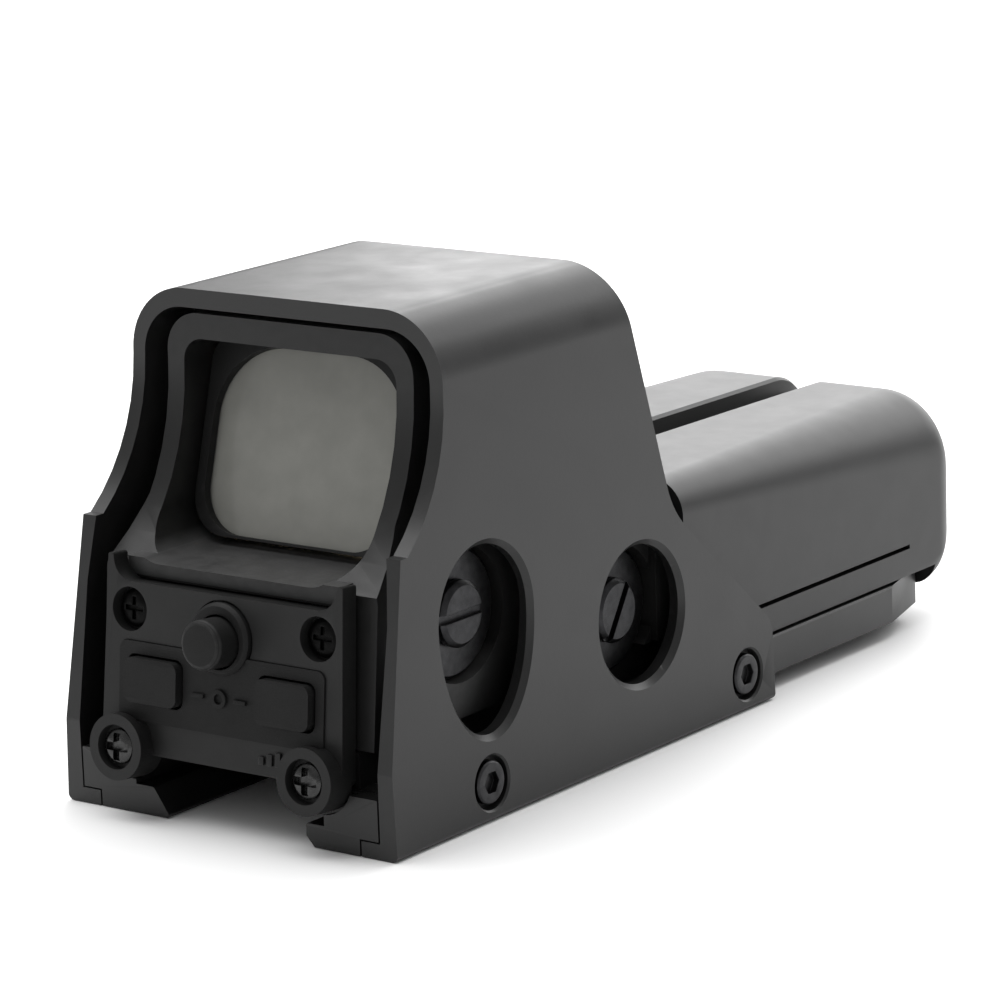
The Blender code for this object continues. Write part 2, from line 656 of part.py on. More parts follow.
def make_emitter():
    """The carriage that windage moves sideways, and the block on it that elevation lifts."""
    y, z = FRONT_ADJUSTER
    carriage = box((-9, 47.5, 14.0), (9, 57.2, 22.8))
    cut(carriage, cylinder("X", (y, z), 2.45, 0, 12))
    fuse(carriage, box((-5, 24.0, 14.0), (5, 48.0, 17.3)))
    for side in (-1, 1):
        fuse(carriage, cylinder("Z", (side * 2.9, 28.6), 1.0, 16.5, 23.0, steps=16))
    part(carriage, "windage_carriage", "brass")

    y, z = REAR_ADJUSTER
    block = box((-4.4, 24.4, 18.6), (4.4, 32.6, 28.2))
    for side in (-1, 1):
        cut(block, cylinder("Z", (side * 2.9, 28.6), 1.25, 17, 25.0, steps=16))
    ramp = [(-4.4, 22.85 + 0.2, 0), (4.4, 27.25 + 0.2, 0), (4.4, 28.2, 0), (-4.4, 28.2, 0)]
    fuse(block, prism("XZ", 17.2, 24.8, ramp))
    cut(block, cylinder("Z", (0, 28.6), 1.0, 27.2, 30, steps=16))
    part(block, "emitter_block", "brass")

    wedge_section = [(-4.4, 21.6, 0), (13.0, 21.6, 0), (13.0, 28.4, 0), (7.2, 28.4, 0)]
    wedge_section += [(7.2, 27.2, 0), (5.6, 27.2, 0), (-4.4, 22.2, 0)]
    wedge = prism("XZ", 16.9, 23.9, wedge_section)
    cut(wedge, cylinder("X", (y, z), 2.45, 8.2, 16))
    part(wedge, "elevation_wedge", "steel")

    bulb = [(0, 1.7), (0.9, 1.5), (1.4, 0.9), (1.5, 0), (0.75, 0), (0.75, -0.9), (0, -0.9)]
    led = turned("Z", (0, 28.6, 28.4), bulb, steps=12)
    part(led, "led", "red_led")


# ---------------------------------------------------------------- button panel
def make_panel():
    """Laid out on its own leaning frame: x to the right, y into the sight, z up the panel."""
    outline = mirrored(
        [
            (18.9, -17.6, 1.0),
            (18.3, 6.8, 0.3),
            (17.5, 6.8, 0.3),
            (17.2, 3.6, 2.9),
        ]
    )
    panel = prism("XZ", 0, PANEL_THICK, outline, frame=PANEL_FRAME)
    for side in (-1, 1):
        boss = (side * BOSS_CENTRE[0], BOSS_CENTRE[1])
        fuse(panel, cylinder("Y", boss, BOSS_RADIUS, -BOSS_PROUD, 1.9, frame=PANEL_FRAME))
    pocket = mirrored([(16.1, -13.6, 1.2), (16.1, -3.6, 1.2)])
    cut(panel, prism("XZ", -1, 0.9, pocket, frame=PANEL_FRAME))
    cut(panel, cylinder("Y", (0, -1.7), 4.75, -1, 0.9, frame=PANEL_FRAME))
    for side in (-1, 1):
        boss = (side * BOSS_CENTRE[0], BOSS_CENTRE[1])
        cut(panel, cylinder("Y", boss, 2.8, -5, -1.0, frame=PANEL_FRAME))
        cut(panel, cylinder("Y", boss, 1.65, -5, 5, frame=PANEL_FRAME, steps=12))
        corner = (side * PANEL_SCREWS[0], PANEL_SCREWS[1])
        cut(panel, cylinder("Y", corner, 2.75, -1, 1.7, frame=PANEL_FRAME))
        cut(panel, cylinder("Y", corner, 1.35, -1, 5, frame=PANEL_FRAME, steps=12))
        cut(panel, prism("XZ", 0.5, 5, arrow_window(side, 0.45), frame=PANEL_FRAME))
    cut(panel, cylinder("Y", MODE_BUTTON, MODE_BUTTON_RADIUS + 0.45, 0.5, 5, frame=PANEL_FRAME))
    part(panel, "button_panel", "moulded_panel")


def arrow_window(side, margin):
    centre = Vector((side * ARROW_BUTTON[0], ARROW_BUTTON[1]))
    half = Vector(ARROW_BUTTON_HALF) + Vector((margin, margin))
    return rectangle(centre - half, centre + half, 1.2)


def make_keypad():
    """The rubber sheet in the panel's pocket, with a collar round the upper button."""
    sheet = mirrored([(15.85, -13.35, 1.0), (15.85, -3.85, 1.0)])
    keypad = prism("XZ", -0.25, 0.6, sheet, frame=PANEL_FRAME)
    ring = [(0, 0.6), (4.5, 0.6), (4.5, -0.5), (4.1, -0.95), (0, -0.95)]
    collar = turned("Y", (0, 0, -1.7), ring, frame=PANEL_FRAME)
    fuse(keypad, collar)
    for side in (-1, 1):
        cut(keypad, prism("XZ", -3, 3, arrow_window(side, 0.3), frame=PANEL_FRAME))
    cut(keypad, cylinder("Y", MODE_BUTTON, MODE_BUTTON_RADIUS + 0.3, -5, 5, frame=PANEL_FRAME))
    part(keypad, "keypad", "rubber")


def make_buttons():
    for side, name in ((-1, "down_button"), (1, "up_button")):
        button = prism("XZ", -1.3, 2.2, arrow_window(side, 0), frame=PANEL_FRAME)
        stem = (side * ARROW_BUTTON[0], ARROW_BUTTON[1])
        fuse(button, cylinder("Y", stem, 1.2, 1.8, BUTTON_INNER_END, frame=PANEL_FRAME, steps=16))
        part(button, name, "rubber", (stem[0], 0, stem[1]))
    x, z = MODE_BUTTON
    profile = [(0, BUTTON_INNER_END), (1.2, BUTTON_INNER_END), (1.2, 2.0), (MODE_BUTTON_RADIUS, 2.0)]
    profile += [(MODE_BUTTON_RADIUS, -3.9), (MODE_BUTTON_RADIUS - 0.4, -4.3), (0, -4.3)]
    button = turned("Y", (x, 0, z), profile, frame=PANEL_FRAME)
    part(button, "mode_button", "rubber", (x, 0, z))


def cross_recess(at, reach, width, low, high):
    """The two crossed slots of a Phillips head."""
    (x, z), half = at, width / 2
    return (
        box((x - reach, low, z - half), (x + reach, high, z + half), frame=PANEL_FRAME),
        box((x - half, low, z - reach), (x + half, high, z + reach), frame=PANEL_FRAME),
    )


def make_panel_screws():
    for side, hand in ((-1, "left"), (1, "right")):
        x, z = side * PANEL_SCREWS[0], PANEL_SCREWS[1]
        profile = [(0, 5.6), (1.15, 5.6), (1.15, 1.6), (2.4, 1.6), (2.4, 1.2), (1.7, 0.85), (0, 0.85)]
        screw = turned("Y", (x, 0, z), profile, frame=PANEL_FRAME)
        cut(screw, *cross_recess((x, z), 1.4, 0.6, -1, 1.35))
        part(screw, f"panel_screw_{hand}", "black_steel")

        x, z = side * BOSS_CENTRE[0], BOSS_CENTRE[1]
        profile = [(0, 8.0), (1.35, 8.0), (1.35, -1.1), (2.2, -1.1), (2.2, -1.7), (1.5, -2.1), (0, -2.1)]
        screw = turned("Y", (x, 0, z), profile, frame=PANEL_FRAME)
        cut(screw, *cross_recess((x, z), 1.7, 1.0, -3, -1.3))
        part(screw, f"boss_screw_{hand}", "steel")


def make_circuit():
    rear, front = BUTTON_INNER_END + 1.7, BUTTON_INNER_END + 2.7
    outline = rectangle((-15.8, -11.6), (15.8, -2.9), 0.8)
    board = prism("XZ", rear, front, outline, frame=PANEL_FRAME)
    tongue = box((-5.5, rear, -4), (5.5, front, 1.6), frame=PANEL_FRAME)
    fuse(board, tongue)
    part(board, "circuit_board", "board")
    places = {
        "down_switch": (-ARROW_BUTTON[0], ARROW_BUTTON[1]),
        "up_switch": ARROW_BUTTON,
        "mode_switch": MODE_BUTTON,
    }
    for name, (x, z) in places.items():
        dome = [(0, rear - 0.3), (2.3, rear - 0.3), (1.9, rear - 0.65), (0, rear - 0.75)]
        part(turned("Y", (x, 0, z), dome, frame=PANEL_FRAME, steps=12), name, "spring_steel")


# ---------------------------------------------------------------- battery compartment
def make_battery_block():
    """The bulkhead that closes the cap's open end, with a spigot that the gasket sits on."""
    flange = mirrored([(21.6, BASE_TOP + GAP, 0), (21.6, 31.6, 4)])
    block = prism("XZ", 61.4, CAP_START_Y - 0.5, flange)
    spigot = mirrored([(19.1, 14.5, 5.0), (19.1, 29.9, 6.0)])
    fuse(block, prism("XZ", 64, 70.5, spigot))
    groove = mirrored([(18.3, 15.3, 4.4), (18.3, 29.1, 5.4)])
    cut(block, prism("XZ", 66.6, 68.6, mirrored([(25, 5, 0), (25, 40, 0)]), groove))
    cut(block, cylinder("Z", (0, HOUSING_SCREWS_Y[1]), 1.6, 10, 16, steps=12))
    part(block, "battery_block", "moulded_panel")
    outer = mirrored([(19.35, 14.2, 5.2), (19.35, 30.15, 6.2)])
    inner = mirrored([(18.5, 15.1, 4.5), (18.5, 29.3, 5.5)])
    part(prism("XZ", 66.85, 68.35, outer, inner), "cap_gasket", "rubber")


def ease(start, end, y):
    """0 until start, then a quarter circle's drop that reaches 1 at end."""
    share = min(1.0, max(0.0, (y - start) / (end - start)))
    return 1 - math.sqrt(1 - share * share)


def cap_ring(y, steps):
    """The cap's outline at one place along it: humps, a channel between them, ever rounder corners."""
    along = (y - CAP_START_Y) / (CAP_END_Y - CAP_START_Y)
    half = CAP_HALF - 5.5 * ease(CAP_END_Y - 6, CAP_END_Y, y)
    top = CAP_TOP - 0.5 * along - 6.5 * ease(CAP_END_Y - 7.5, CAP_END_Y, y)
    bottom = CHIN_Z + 8.0 * ease(CHIN_START_Y, CAP_END_Y, y)
    top_radius = min(4.6 + 5.0 * along, 0.48 * (top - bottom))
    low_radius = min(4.0 + 4.0 * ease(CHIN_START_Y, CAP_END_Y, y), 0.48 * (top - bottom))
    ramp = min(1, max(0, (y - CHANNEL_RAMP_Y[0]) / (CHANNEL_RAMP_Y[1] - CHANNEL_RAMP_Y[0])))
    depth = SEAL_CHANNEL_DEPTH + (CHANNEL_DEPTH - SEAL_CHANNEL_DEPTH) * ramp
    depth *= 1 - 0.6 * min(1, max(0, (along - 0.8) / 0.2))
    corner = arc((half - low_radius, bottom + low_radius), low_radius, -90, 0, steps)
    corner += arc((half - top_radius, top - top_radius), top_radius, 0, 90, steps)
    right = [(u, v) for u, v, _ in corner]
    right += [(CHANNEL_HALF + 0.5, top), (CHANNEL_HALF, top - 0.4), (CHANNEL_HALF - 0.3, top - depth)]
    return right + [(-u, v) for u, v in reversed(right)]


def cap_body(stations, steps):
    """A closed skin through the cap's outlines."""
    shape = bmesh.new()
    rings = []
    for y in stations:
        rings.append([shape.verts.new(Vector((u, y, v)) * MM) for u, v in cap_ring(y, steps)])
    for before, after in zip(rings, rings[1:]):
        for i in range(len(before)):
            j = (i + 1) % len(before)
            shape.faces.new((before[i], before[j], after[j], after[i]))
    shape.faces.new(rings[0])
    shape.faces.new(rings[-1])
    bmesh.ops.recalc_face_normals(shape, faces=shape.faces)
    return add_object("cap", mesh_of(shape))


def cap_stations(count):
    """Places along the cap: even along its length, then closer together round its front."""
    straight = [CAP_START_Y + (CHIN_START_Y - CAP_START_Y) * k / count for k in range(count)]
    turn = [math.radians(90) * k / (2 * count) for k in range(2 * count + 1)]
    return straight + [CHIN_START_Y + (CAP_END_Y - CHIN_START_Y) * math.sin(angle) for angle in turn]


def make_battery_cap():
    cap = cap_body(cap_stations(CAP_RINGS), CAP_CORNER_STEPS)
    cut(cap, box((-30, 60, 0), (30, BASE_END_Y + 0.4, CAP_SKIRT_Z)))
    cut(cap, box((-20.3, 60, 5), (20.3, BASE_END_Y + 0.4, CAP_FLOOR_Z)))
    low, high = CELL_Z - 7.6, CELL_Z + 7.6
    cells = mirrored([(16.3, low, 7.4), (16.3, high, 7.4), (5.5, high, 0.8), (3.4, high - 2.2, 0.8)])
    cut(cap, prism("XZ", 60, 130.0, cells))
    cut(cap, prism("XZ", 60, 71.2, mirrored([(19.6, 13.95, 5.4), (19.6, 30.4, 6.4)])))
    for sign in (-1, 1):
        low, high = sorted((sign * 20.0, sign * 25.0))
        cut(cap, box((low, 60, SLIT_Z[0]), (high, SLIT_END_Y, SLIT_Z[1])))
    cut(cap, box((-LATCH_HALF - 0.5, 122.0, 2), (LATCH_HALF + 0.5, 140, 13.2)))
    cut(cap, cylinder("X", LATCH_PIVOT, 0.95, -8.6, 8.6, steps=16))
    part(cap, "battery_cap", "moulded_cap")


def make_latch():
    """The catch lever at the cap's front: pressing its tab down lifts the nose off the base's lip."""
    y, z = LATCH_PIVOT
    side = [
        (124.9, 10.95, 0),
        (126.0, 10.95, 0),
        (127.6, 11.1, 0),
        (129.2, 10.3, 0),
        (131.0, 9.6, 0.5),
        (136.6, 9.3, 0.5),
        (136.9, 11.4, 0.6),
        (133.2, 12.0, 0),
        (131.6, 12.9, 0.8),
        (129.6, 12.9, 0.8),
        (127.5, 12.3, 0),
        (124.9, 12.3, 0),
    ]
    lever = prism("YZ", -LATCH_HALF, LATCH_HALF, side)
    fuse(lever, cylinder("X", (y, z), 0.7, -8.3, 8.3, steps=12))
    part(lever, "cap_latch", "moulded_cap", (0, y, z))


def make_cells():
    for side, name in ((-1, "left"), (1, "right")):
        nub_forward = side < 0
        length = CELL_Y[1] - CELL_Y[0]
        profile = [(0, length), (2.6, length), (2.6, length - 1.0), (6.6, length - 1.0)]
        profile += [(CELL_RADIUS, length - 1.5), (CELL_RADIUS, 0.4), (6.7, 0), (0, 0)]
        at = (side * CELL_X, CELL_Y[0] if nub_forward else CELL_Y[1], CELL_Z)
        cell = turned("Y", at, profile, flip=not nub_forward)
        part(cell, f"battery_{name}", "cell_wrap")


def coil(name, centre, low, high, large, small):
    """A conical contact spring: one wire wound along Y."""
    curve = bpy.data.curves.new(name, "CURVE")
    curve.dimensions = "3D"
    curve.bevel_depth = 0.3 * MM
    curve.bevel_resolution = 0
    curve.use_fill_caps = True
    spline = curve.splines.new("POLY")
    turns, per_turn = 3, 8
    count = turns * per_turn
    spline.points.add(count)
    for k in range(count + 1):
        share = k / count
        angle = 2 * math.pi * turns * share
        radius = large + (small - large) * share
        y = low + (high - low) * share
        across, up = centre[0] + radius * math.cos(angle), centre[1] + radius * math.sin(angle)
        point = Vector((across, y, up)) * MM
        spline.points[k].co = (*point, 1)
    obj = bpy.data.objects.new(name, curve)
    CUTTERS.objects.link(obj)
    obj.parent = SIGHT
    obj.hide_render = True
    return obj


def make_contacts():
    part(coil("rear_spring", (-CELL_X, CELL_Z), 71.4, 73.4, 4.6, 2.6), "rear_spring", "spring_steel")
    part(coil("front_spring", (CELL_X, CELL_Z), 128.6, 125.1, 4.6, 2.6), "front_spring", "spring_steel")
    stud = [(0, 3.1), (2.4, 3.1), (2.8, 2.6), (2.8, 0.3), (0, 0.3)]
    part(turned("Y", (CELL_X, 70.5, CELL_Z), stud, steps=12), "rear_contact", "brass")
    bridge = prism("XZ", 129.1, 129.7, mirrored([(13.5, CELL_Z - 5, 3), (13.5, CELL_Z + 5, 3)]))
    fuse(bridge, cylinder("Y", (-CELL_X, CELL_Z), 2.6, 124.8, 129.3, steps=12))
    part(bridge, "contact_bridge", "brass")


make_hood()
make_hood_screws()
make_base()
make_housing_screws()
make_clamp()
make_optical_housing()
make_windows()
make_adjusters()
make_emitter()
make_panel()
make_keypad()
make_buttons()
make_panel_screws()
make_circuit()
make_battery_block()
make_battery_cap()
make_latch()
make_cells()
make_contacts()
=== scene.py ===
import json
import math

import bmesh
import bpy
from mathutils import Matrix, Vector

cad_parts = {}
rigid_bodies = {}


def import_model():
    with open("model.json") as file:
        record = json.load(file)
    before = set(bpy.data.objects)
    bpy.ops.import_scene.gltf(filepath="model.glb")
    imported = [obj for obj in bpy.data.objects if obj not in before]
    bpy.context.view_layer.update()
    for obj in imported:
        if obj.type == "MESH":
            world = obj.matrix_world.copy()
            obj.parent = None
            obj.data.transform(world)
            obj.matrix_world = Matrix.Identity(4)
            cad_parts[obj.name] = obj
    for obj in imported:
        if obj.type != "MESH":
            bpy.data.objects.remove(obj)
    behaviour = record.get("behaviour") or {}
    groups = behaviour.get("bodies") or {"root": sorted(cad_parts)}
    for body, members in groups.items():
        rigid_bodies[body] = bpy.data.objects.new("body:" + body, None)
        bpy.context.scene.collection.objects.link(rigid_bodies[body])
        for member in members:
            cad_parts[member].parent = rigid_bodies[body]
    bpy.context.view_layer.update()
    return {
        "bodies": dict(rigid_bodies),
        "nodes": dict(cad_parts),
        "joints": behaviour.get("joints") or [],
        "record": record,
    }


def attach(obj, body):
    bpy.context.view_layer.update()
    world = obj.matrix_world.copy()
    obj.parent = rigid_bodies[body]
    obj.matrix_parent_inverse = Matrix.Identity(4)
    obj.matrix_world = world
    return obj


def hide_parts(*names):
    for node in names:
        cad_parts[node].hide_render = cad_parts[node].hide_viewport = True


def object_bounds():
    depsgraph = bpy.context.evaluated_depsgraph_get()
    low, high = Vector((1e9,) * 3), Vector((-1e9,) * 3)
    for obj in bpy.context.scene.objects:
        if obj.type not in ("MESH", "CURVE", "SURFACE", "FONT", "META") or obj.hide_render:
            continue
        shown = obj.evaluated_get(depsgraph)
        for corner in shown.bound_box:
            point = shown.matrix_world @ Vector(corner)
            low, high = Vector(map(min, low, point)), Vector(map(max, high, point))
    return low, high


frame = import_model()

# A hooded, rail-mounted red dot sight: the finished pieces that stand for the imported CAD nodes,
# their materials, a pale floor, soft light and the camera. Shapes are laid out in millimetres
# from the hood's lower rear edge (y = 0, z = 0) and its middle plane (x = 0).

RECORD = frame["record"]

# ---- driving dimensions, mm
MM = 0.001
ARC_STEP = math.radians(5)  # one facet of a rounded corner
SHARP_ANGLE = math.radians(32)  # an edge sharper than this is rounded, and shading stops at it
SMOOTH_ANGLE = math.radians(30)  # the same for a round shape before it is cut or joined
EDGE_RADIUS = 0.2  # how far a piece's edges are rounded
MARK_EDGE_RADIUS = 0.08  # the same on the small raised marks
SMALL_STEPS = 40  # facets round a small hole or rod
PAST = 30  # a distance from the middle plane that is past every piece, for cutters
GAP = 0.3  # between pieces that touch

HOOD_HALF_WIDTH = 26.0  # at the bottom edge
HOOD_LENGTH = 82.3
HOOD_HEIGHT = 63.4
HOOD_TAPER = 0.033  # how much each side leans in for each mm of height
HOOD_INNER = ((23.5, 28.0), (22.7, 36.0), (22.1, 61.0))  # half widths of the cavity at three heights
HOOD_RIM_Y = 14.5
HOOD_RIM_CORNER = 8.5
HOOD_SWEEP_TOP = 54.5  # where the rim starts to sweep back down to the notch
HOOD_SWEEP_RADIUS = 24.0
HOOD_NOTCH_Z = 35.9
HOOD_NOTCH_Y = 4.3

SIDE_HOLE_RADIUS = 9.65
REAR_ADJUSTER = (20.3, 25.3)  # y, z of the elevation screw's axis
FRONT_ADJUSTER = (52.8, 18.25)  # y, z of the windage screw's axis
REAR_HOLE_DROP = 15.3  # from that screw's axis down to the lower end of the egg-shaped hole
HOLE_CHAMFER = 0.7
COUNTERBORE_CHAMFER = 0.25
CHAMFER_SPARE = 0.4  # how far a chamfer's cutter reaches past each end of the chamfer
HOOD_SCREWS_Y = (19.4, 76.0)
HOOD_SCREW_Z = 4.85
SCREW_HOLE_RADIUS = 1.7
COUNTERBORE_RADIUS = 3.4
COUNTERBORE_FLOOR_X = 24.3

SEAT_Z = 7.5  # flat roof of the rail channel
FLANGE_HALF = 23.2
FLANGE_Z = (2.15, 7.4)
FOOT_HALF = 20.35
BASE_TOP = 12.0
BASE_DECK_HALF = 18.8
BASE_END_Y = 128.5
DECK_START_Y = 2.5
DECK_END_Y = 124.0
FACET_START_Y = 116.6
FACET_END_X = 20.0
LIP_Y = (125.8, 126.6)  # the lip that the latch's nose reaches over
FOOT_CUT_Y = 84.0  # ahead of this the foot is narrower
FOOT_FRONT_HALF = 17.0
RAIL_GAP = (-9.0, 12.2)  # hook tip and open jaw tip: 21.2 mm lets the rail pass
RAIL_CHANNEL = (-14.6, 15.0)

HOUSING_BOTTOM = BASE_TOP + GAP
HOUSING_LOW_HALF = 21.2
HOUSING_HIGH_HALF = 19.2
HOUSING_TOP = 60.2
HOUSING_FRAME_Y = 15.3
HOUSING_SWEEP_TOP = 54.0  # where the frame starts to sweep back down to the brow
HOUSING_SWEEP_RADIUS = 30.0
TUNNEL_HALF = 16.6
TUNNEL_Z = (31.3, 57.0)
CHAMBER_HALF = 16.8
CHAMBER_TOP = 29.0
HOUSING_SCREWS_Y = (12.0, 64.0)
BROW_HALF = 16.6  # the ledge behind the dip in the button panel

WINDOW_LEAN = math.atan(0.28)
WINDOW_CENTRE = (19.0, 44.4)  # y, z
WINDOW_APERTURE = (14.9, 12.4, 11.3)  # half width, and how far down and up it reaches
PANE_HALF_HEIGHT = 12.6
LENS_CENTRE = (48.5, 44.4)

PANEL_LEAN = math.atan(0.10)
PANEL_POINT = (0.66, 25.7)  # y, z of the point of the front face that the panel is laid out from
PANEL_THICK = 2.6
PANEL_SCREWS = (14.75, 0.15)
BOSS_CENTRE = (14.8, -16.8)  # x and height on the panel, like the others here
BOSS_RADIUS = 4.15
BOSS_PROUD = 2.3
ARROW_BUTTON = (10.3, -8.3)  # x and height of its centre on the panel
ARROW_BUTTON_HALF = (4.15, 2.8)
MODE_BUTTON = (0.0, -2.0)
MODE_BUTTON_RADIUS = 3.1
BUTTON_INNER_END = 4.6

CAP_START_Y = 66.0
CAP_END_Y = 136.2
CAP_HALF = 22.95
CAP_TOP = 32.6
CAP_SKIRT_Z = 7.8
CHIN_Z = 4.5  # the front wall reaches lower than the skirt, ahead of the base
CAP_FLOOR_Z = 12.7
CHIN_START_Y = 127.0
CHANNEL_HALF = 3.1
CHANNEL_DEPTH = 3.4
SEAL_CHANNEL_DEPTH = 1.2  # the channel is shallow over the seal
CHANNEL_RAMP_Y = (74.0, 77.0)
CAP_NOSE_SIDE = (6.0, 5.5)  # over what length the sides round in at the front, and how far
CAP_NOSE_TOP = (7.5, 6.5)  # the same for the top
CAP_FALL = 0.5  # how much lower the top is at the front
CHIN_RISE = 8.0
MOST_RADIUS = 0.48  # the largest corner radius, as a share of the cap's height there
CAP_RINGS = 16
CAP_CORNER_STEPS = 14
SLIT_END_Y = 121.9
SLIT_Z = (11.6, 12.2)
CELL_RADIUS = 7.15
CELL_X = 8.6
CELL_Z = 21.9
CELL_Y = (74.0, 124.5)
COIL_RADII = (4.6, 2.6)

BOLT_Y = 100.0
BOLT_Z = 4.75
BOLT_RADIUS = 1.9
KNOB_RADIUS = 4.4
JAW_Y = (86.4, 113.6)

LATCH_PIVOT = (130.5, 12.0)
LATCH_HALF = 5.6

SIGHT_ORIGIN = (0.0, 40.0, SEAT_Z)


# ---- materials
class Graph:
    """A material's node tree, with short calls for the few nodes that every finish uses."""

    def __init__(self, name):
        self.material = bpy.data.materials.new(name)
        self.material.use_nodes = True
        self.tree = self.material.node_tree
        self.shader = self.tree.nodes["Principled BSDF"]
        place = self.node("ShaderNodeTexCoord").outputs["Object"]
        self.place = self.node("ShaderNodeMapping", Vector=place, Scale=(1 / MM,) * 3).outputs[0]

    def node(self, kind, **inputs):
        made = self.tree.nodes.new(kind)
        for key, value in inputs.items():
            self.set(made.inputs[key.replace("_", " ")], value)
        return made

    def set(self, socket, value):
        if isinstance(value, bpy.types.NodeSocket):
            self.tree.links.new(value, socket)
        else:
            socket.default_value = value

    def surface(self, **inputs):
        """Sets inputs of the shader, such as Base_Color, and gives the finished material."""
        for key, value in inputs.items():
            self.set(self.shader.inputs[key.replace("_", " ")], value)
        return self.material

    def noise(self, per_mm, detail=3.0, stretch=(1, 1, 1)):
        where = self.node("ShaderNodeMapping", Vector=self.place, Scale=stretch).outputs[0]
        return self.node("ShaderNodeTexNoise", Vector=where, Scale=per_mm, Detail=detail).outputs[0]

    def ranged(self, value, low, high, start=0.3, end=0.7):
        return self.node(
            "ShaderNodeMapRange",
            Value=value,
            **{"From Min": start, "From Max": end, "To Min": low, "To Max": high},
        ).outputs[0]

    def blend(self, factor, first, second):
        mix = self.tree.nodes.new("ShaderNodeMix")
        mix.data_type = "RGBA"
        self.set(mix.inputs["Factor"], factor)
        self.set(mix.inputs[6], first)
        self.set(mix.inputs[7], second)
        return mix.outputs[2]

    def product(self, first, second):
        made = self.tree.nodes.new("ShaderNodeMath")
        made.operation = "MULTIPLY"
        self.set(made.inputs[0], first)
        self.set(made.inputs[1], second)
        return made.outputs[0]

    def bump(self, height, depth_mm, below=None):
        made = self.node("ShaderNodeBump", Height=height, Distance=depth_mm * MM, Strength=1.0)
        if below:
            self.set(made.inputs["Normal"], below)
        return made.outputs[0]

    def edges(self):
        made = self.tree.nodes.new("ShaderNodeAttribute")
        made.attribute_name = "edge"
        return made.outputs["Fac"]


def grey(level):
    return (level, level, level, 1)


def scaled(colour, factor):
    return (*(channel * factor for channel in colour[:3]), 1)


def anodised(name, level, roughness):
    """Bead-blasted and dyed aluminium: fine grain, faint blotches, and a painted highlight that lightens
    the rounded edges.
    """
    g = Graph(name)
    blotch = g.noise(0.12, 4)
    # painted highlight: the rounded edges are painted lighter, broken up by noise, in place of the light
    # they catch
    painted_edge_highlight = g.product(g.edges(), g.ranged(g.noise(0.5, 5), 0.15, 1.0))
    colour = g.blend(g.ranged(blotch, 0, 1), grey(level * 0.8), grey(level * 1.25))
    grain = g.bump(g.noise(5.0, 2), 0.006)
    return g.surface(
        Base_Color=g.blend(painted_edge_highlight, colour, grey(level * 5 + 0.02)),
        Roughness=g.ranged(blotch, roughness - 0.04, roughness + 0.05),
        Specular_IOR_Level=0.4,
        Normal=g.bump(g.noise(1.1, 3), 0.006, grain),
    )


def moulded(name, level, roughness, specular, grain_depth):
    """Moulded plastic or rubber: a spark-eroded texture, soft sheen differences and a painted highlight
    that lightens the rounded edges.
    """
    g = Graph(name)
    blotch = g.noise(0.2, 3)
    # painted highlight: the rounded edges are painted lighter, broken up by noise, in place of the light
    # they catch
    painted_edge_highlight = g.product(g.edges(), g.ranged(g.noise(0.8, 4), 0.0, 0.7))
    colour = g.blend(g.ranged(blotch, 0, 1), grey(level * 0.85), grey(level * 1.2))
    cells = g.node("ShaderNodeTexVoronoi", Vector=g.place, Scale=6.0).outputs["Distance"]
    grain = g.bump(g.noise(9, 2), grain_depth)
    return g.surface(
        Base_Color=g.blend(painted_edge_highlight, colour, grey(level * 3 + 0.012)),
        Roughness=g.ranged(g.noise(0.3, 2), roughness - 0.01, roughness + 0.02),
        Specular_IOR_Level=specular,
        Normal=g.bump(cells, grain_depth, grain),
    )


def machined(name, colour, roughness):
    """Bare or plated metal with turning marks along one direction and darker spots."""
    g = Graph(name)
    marks = g.noise(2.2, 4, stretch=(0.3, 6, 6))
    spots = g.ranged(g.noise(0.9, 5), 0, 1, 0.35, 0.75)
    grain = g.bump(g.noise(6, 2), 0.004)
    return g.surface(
        Base_Color=g.blend(spots, (*colour, 1), scaled(colour, 0.6)),
        Metallic=1.0,
        Roughness=g.ranged(marks, roughness - 0.08, roughness + 0.12),
        Normal=g.bump(marks, 0.012, grain),
    )


def glass(name, tint, ior, transmission):
    """Coated glass: a clean reflection, a faint dusting and an uneven coating."""
    g = Graph(name)
    coating = g.ranged(g.noise(0.25, 4), 0, 1)
    return g.surface(
        Base_Color=g.blend(coating, (*tint, 1), scaled(tint, 0.88)),
        Roughness=g.ranged(g.noise(1.5, 5), 0.05, 0.11),
        Specular_IOR_Level=0.2,
        IOR=ior,
        Transmission_Weight=transmission,
    )


def circuit(name):
    """Green solder mask over faint copper tracks."""
    g = Graph(name)
    tracks = g.node(
        "ShaderNodeTexBrick",
        Vector=g.place,
        Scale=0.6,
        Color1=(0.01, 0.09, 0.03, 1),
        Color2=(0.012, 0.11, 0.04, 1),
        Mortar=(0.03, 0.2, 0.07, 1),
    )
    return g.surface(
        Base_Color=tracks.outputs["Color"],
        Roughness=g.ranged(g.noise(1.0), 0.3, 0.45),
        Normal=g.bump(tracks.outputs["Fac"], 0.03),
    )


def sleeve(name):
    """A battery's plain printed sleeve: a dark body and a copper-coloured band near one end."""
    g = Graph(name)
    where = g.node("ShaderNodeSeparateXYZ", Vector=g.place).outputs["Y"]
    band = g.ranged(where, 0, 1, 70.5, 70.9)
    body = g.blend(g.ranged(g.noise(0.4), 0, 1), (0.03, 0.035, 0.05, 1), (0.045, 0.05, 0.065, 1))
    return g.surface(
        Base_Color=g.blend(band, body, (0.5, 0.23, 0.09, 1)),
        Roughness=g.ranged(g.noise(1.4), 0.25, 0.4),
        Metallic=0.4,
        Normal=g.bump(g.noise(3), 0.01),
    )


def lamp(name):
    """A small clear red lamp."""
    g = Graph(name)
    return g.surface(
        Base_Color=g.blend(g.noise(1.0), (0.6, 0.01, 0.01, 1), (0.8, 0.03, 0.02, 1)),
        Roughness=g.ranged(g.noise(2.0), 0.05, 0.15),
        Emission_Color=(1.0, 0.05, 0.03, 1),
        Emission_Strength=0.6,
    )


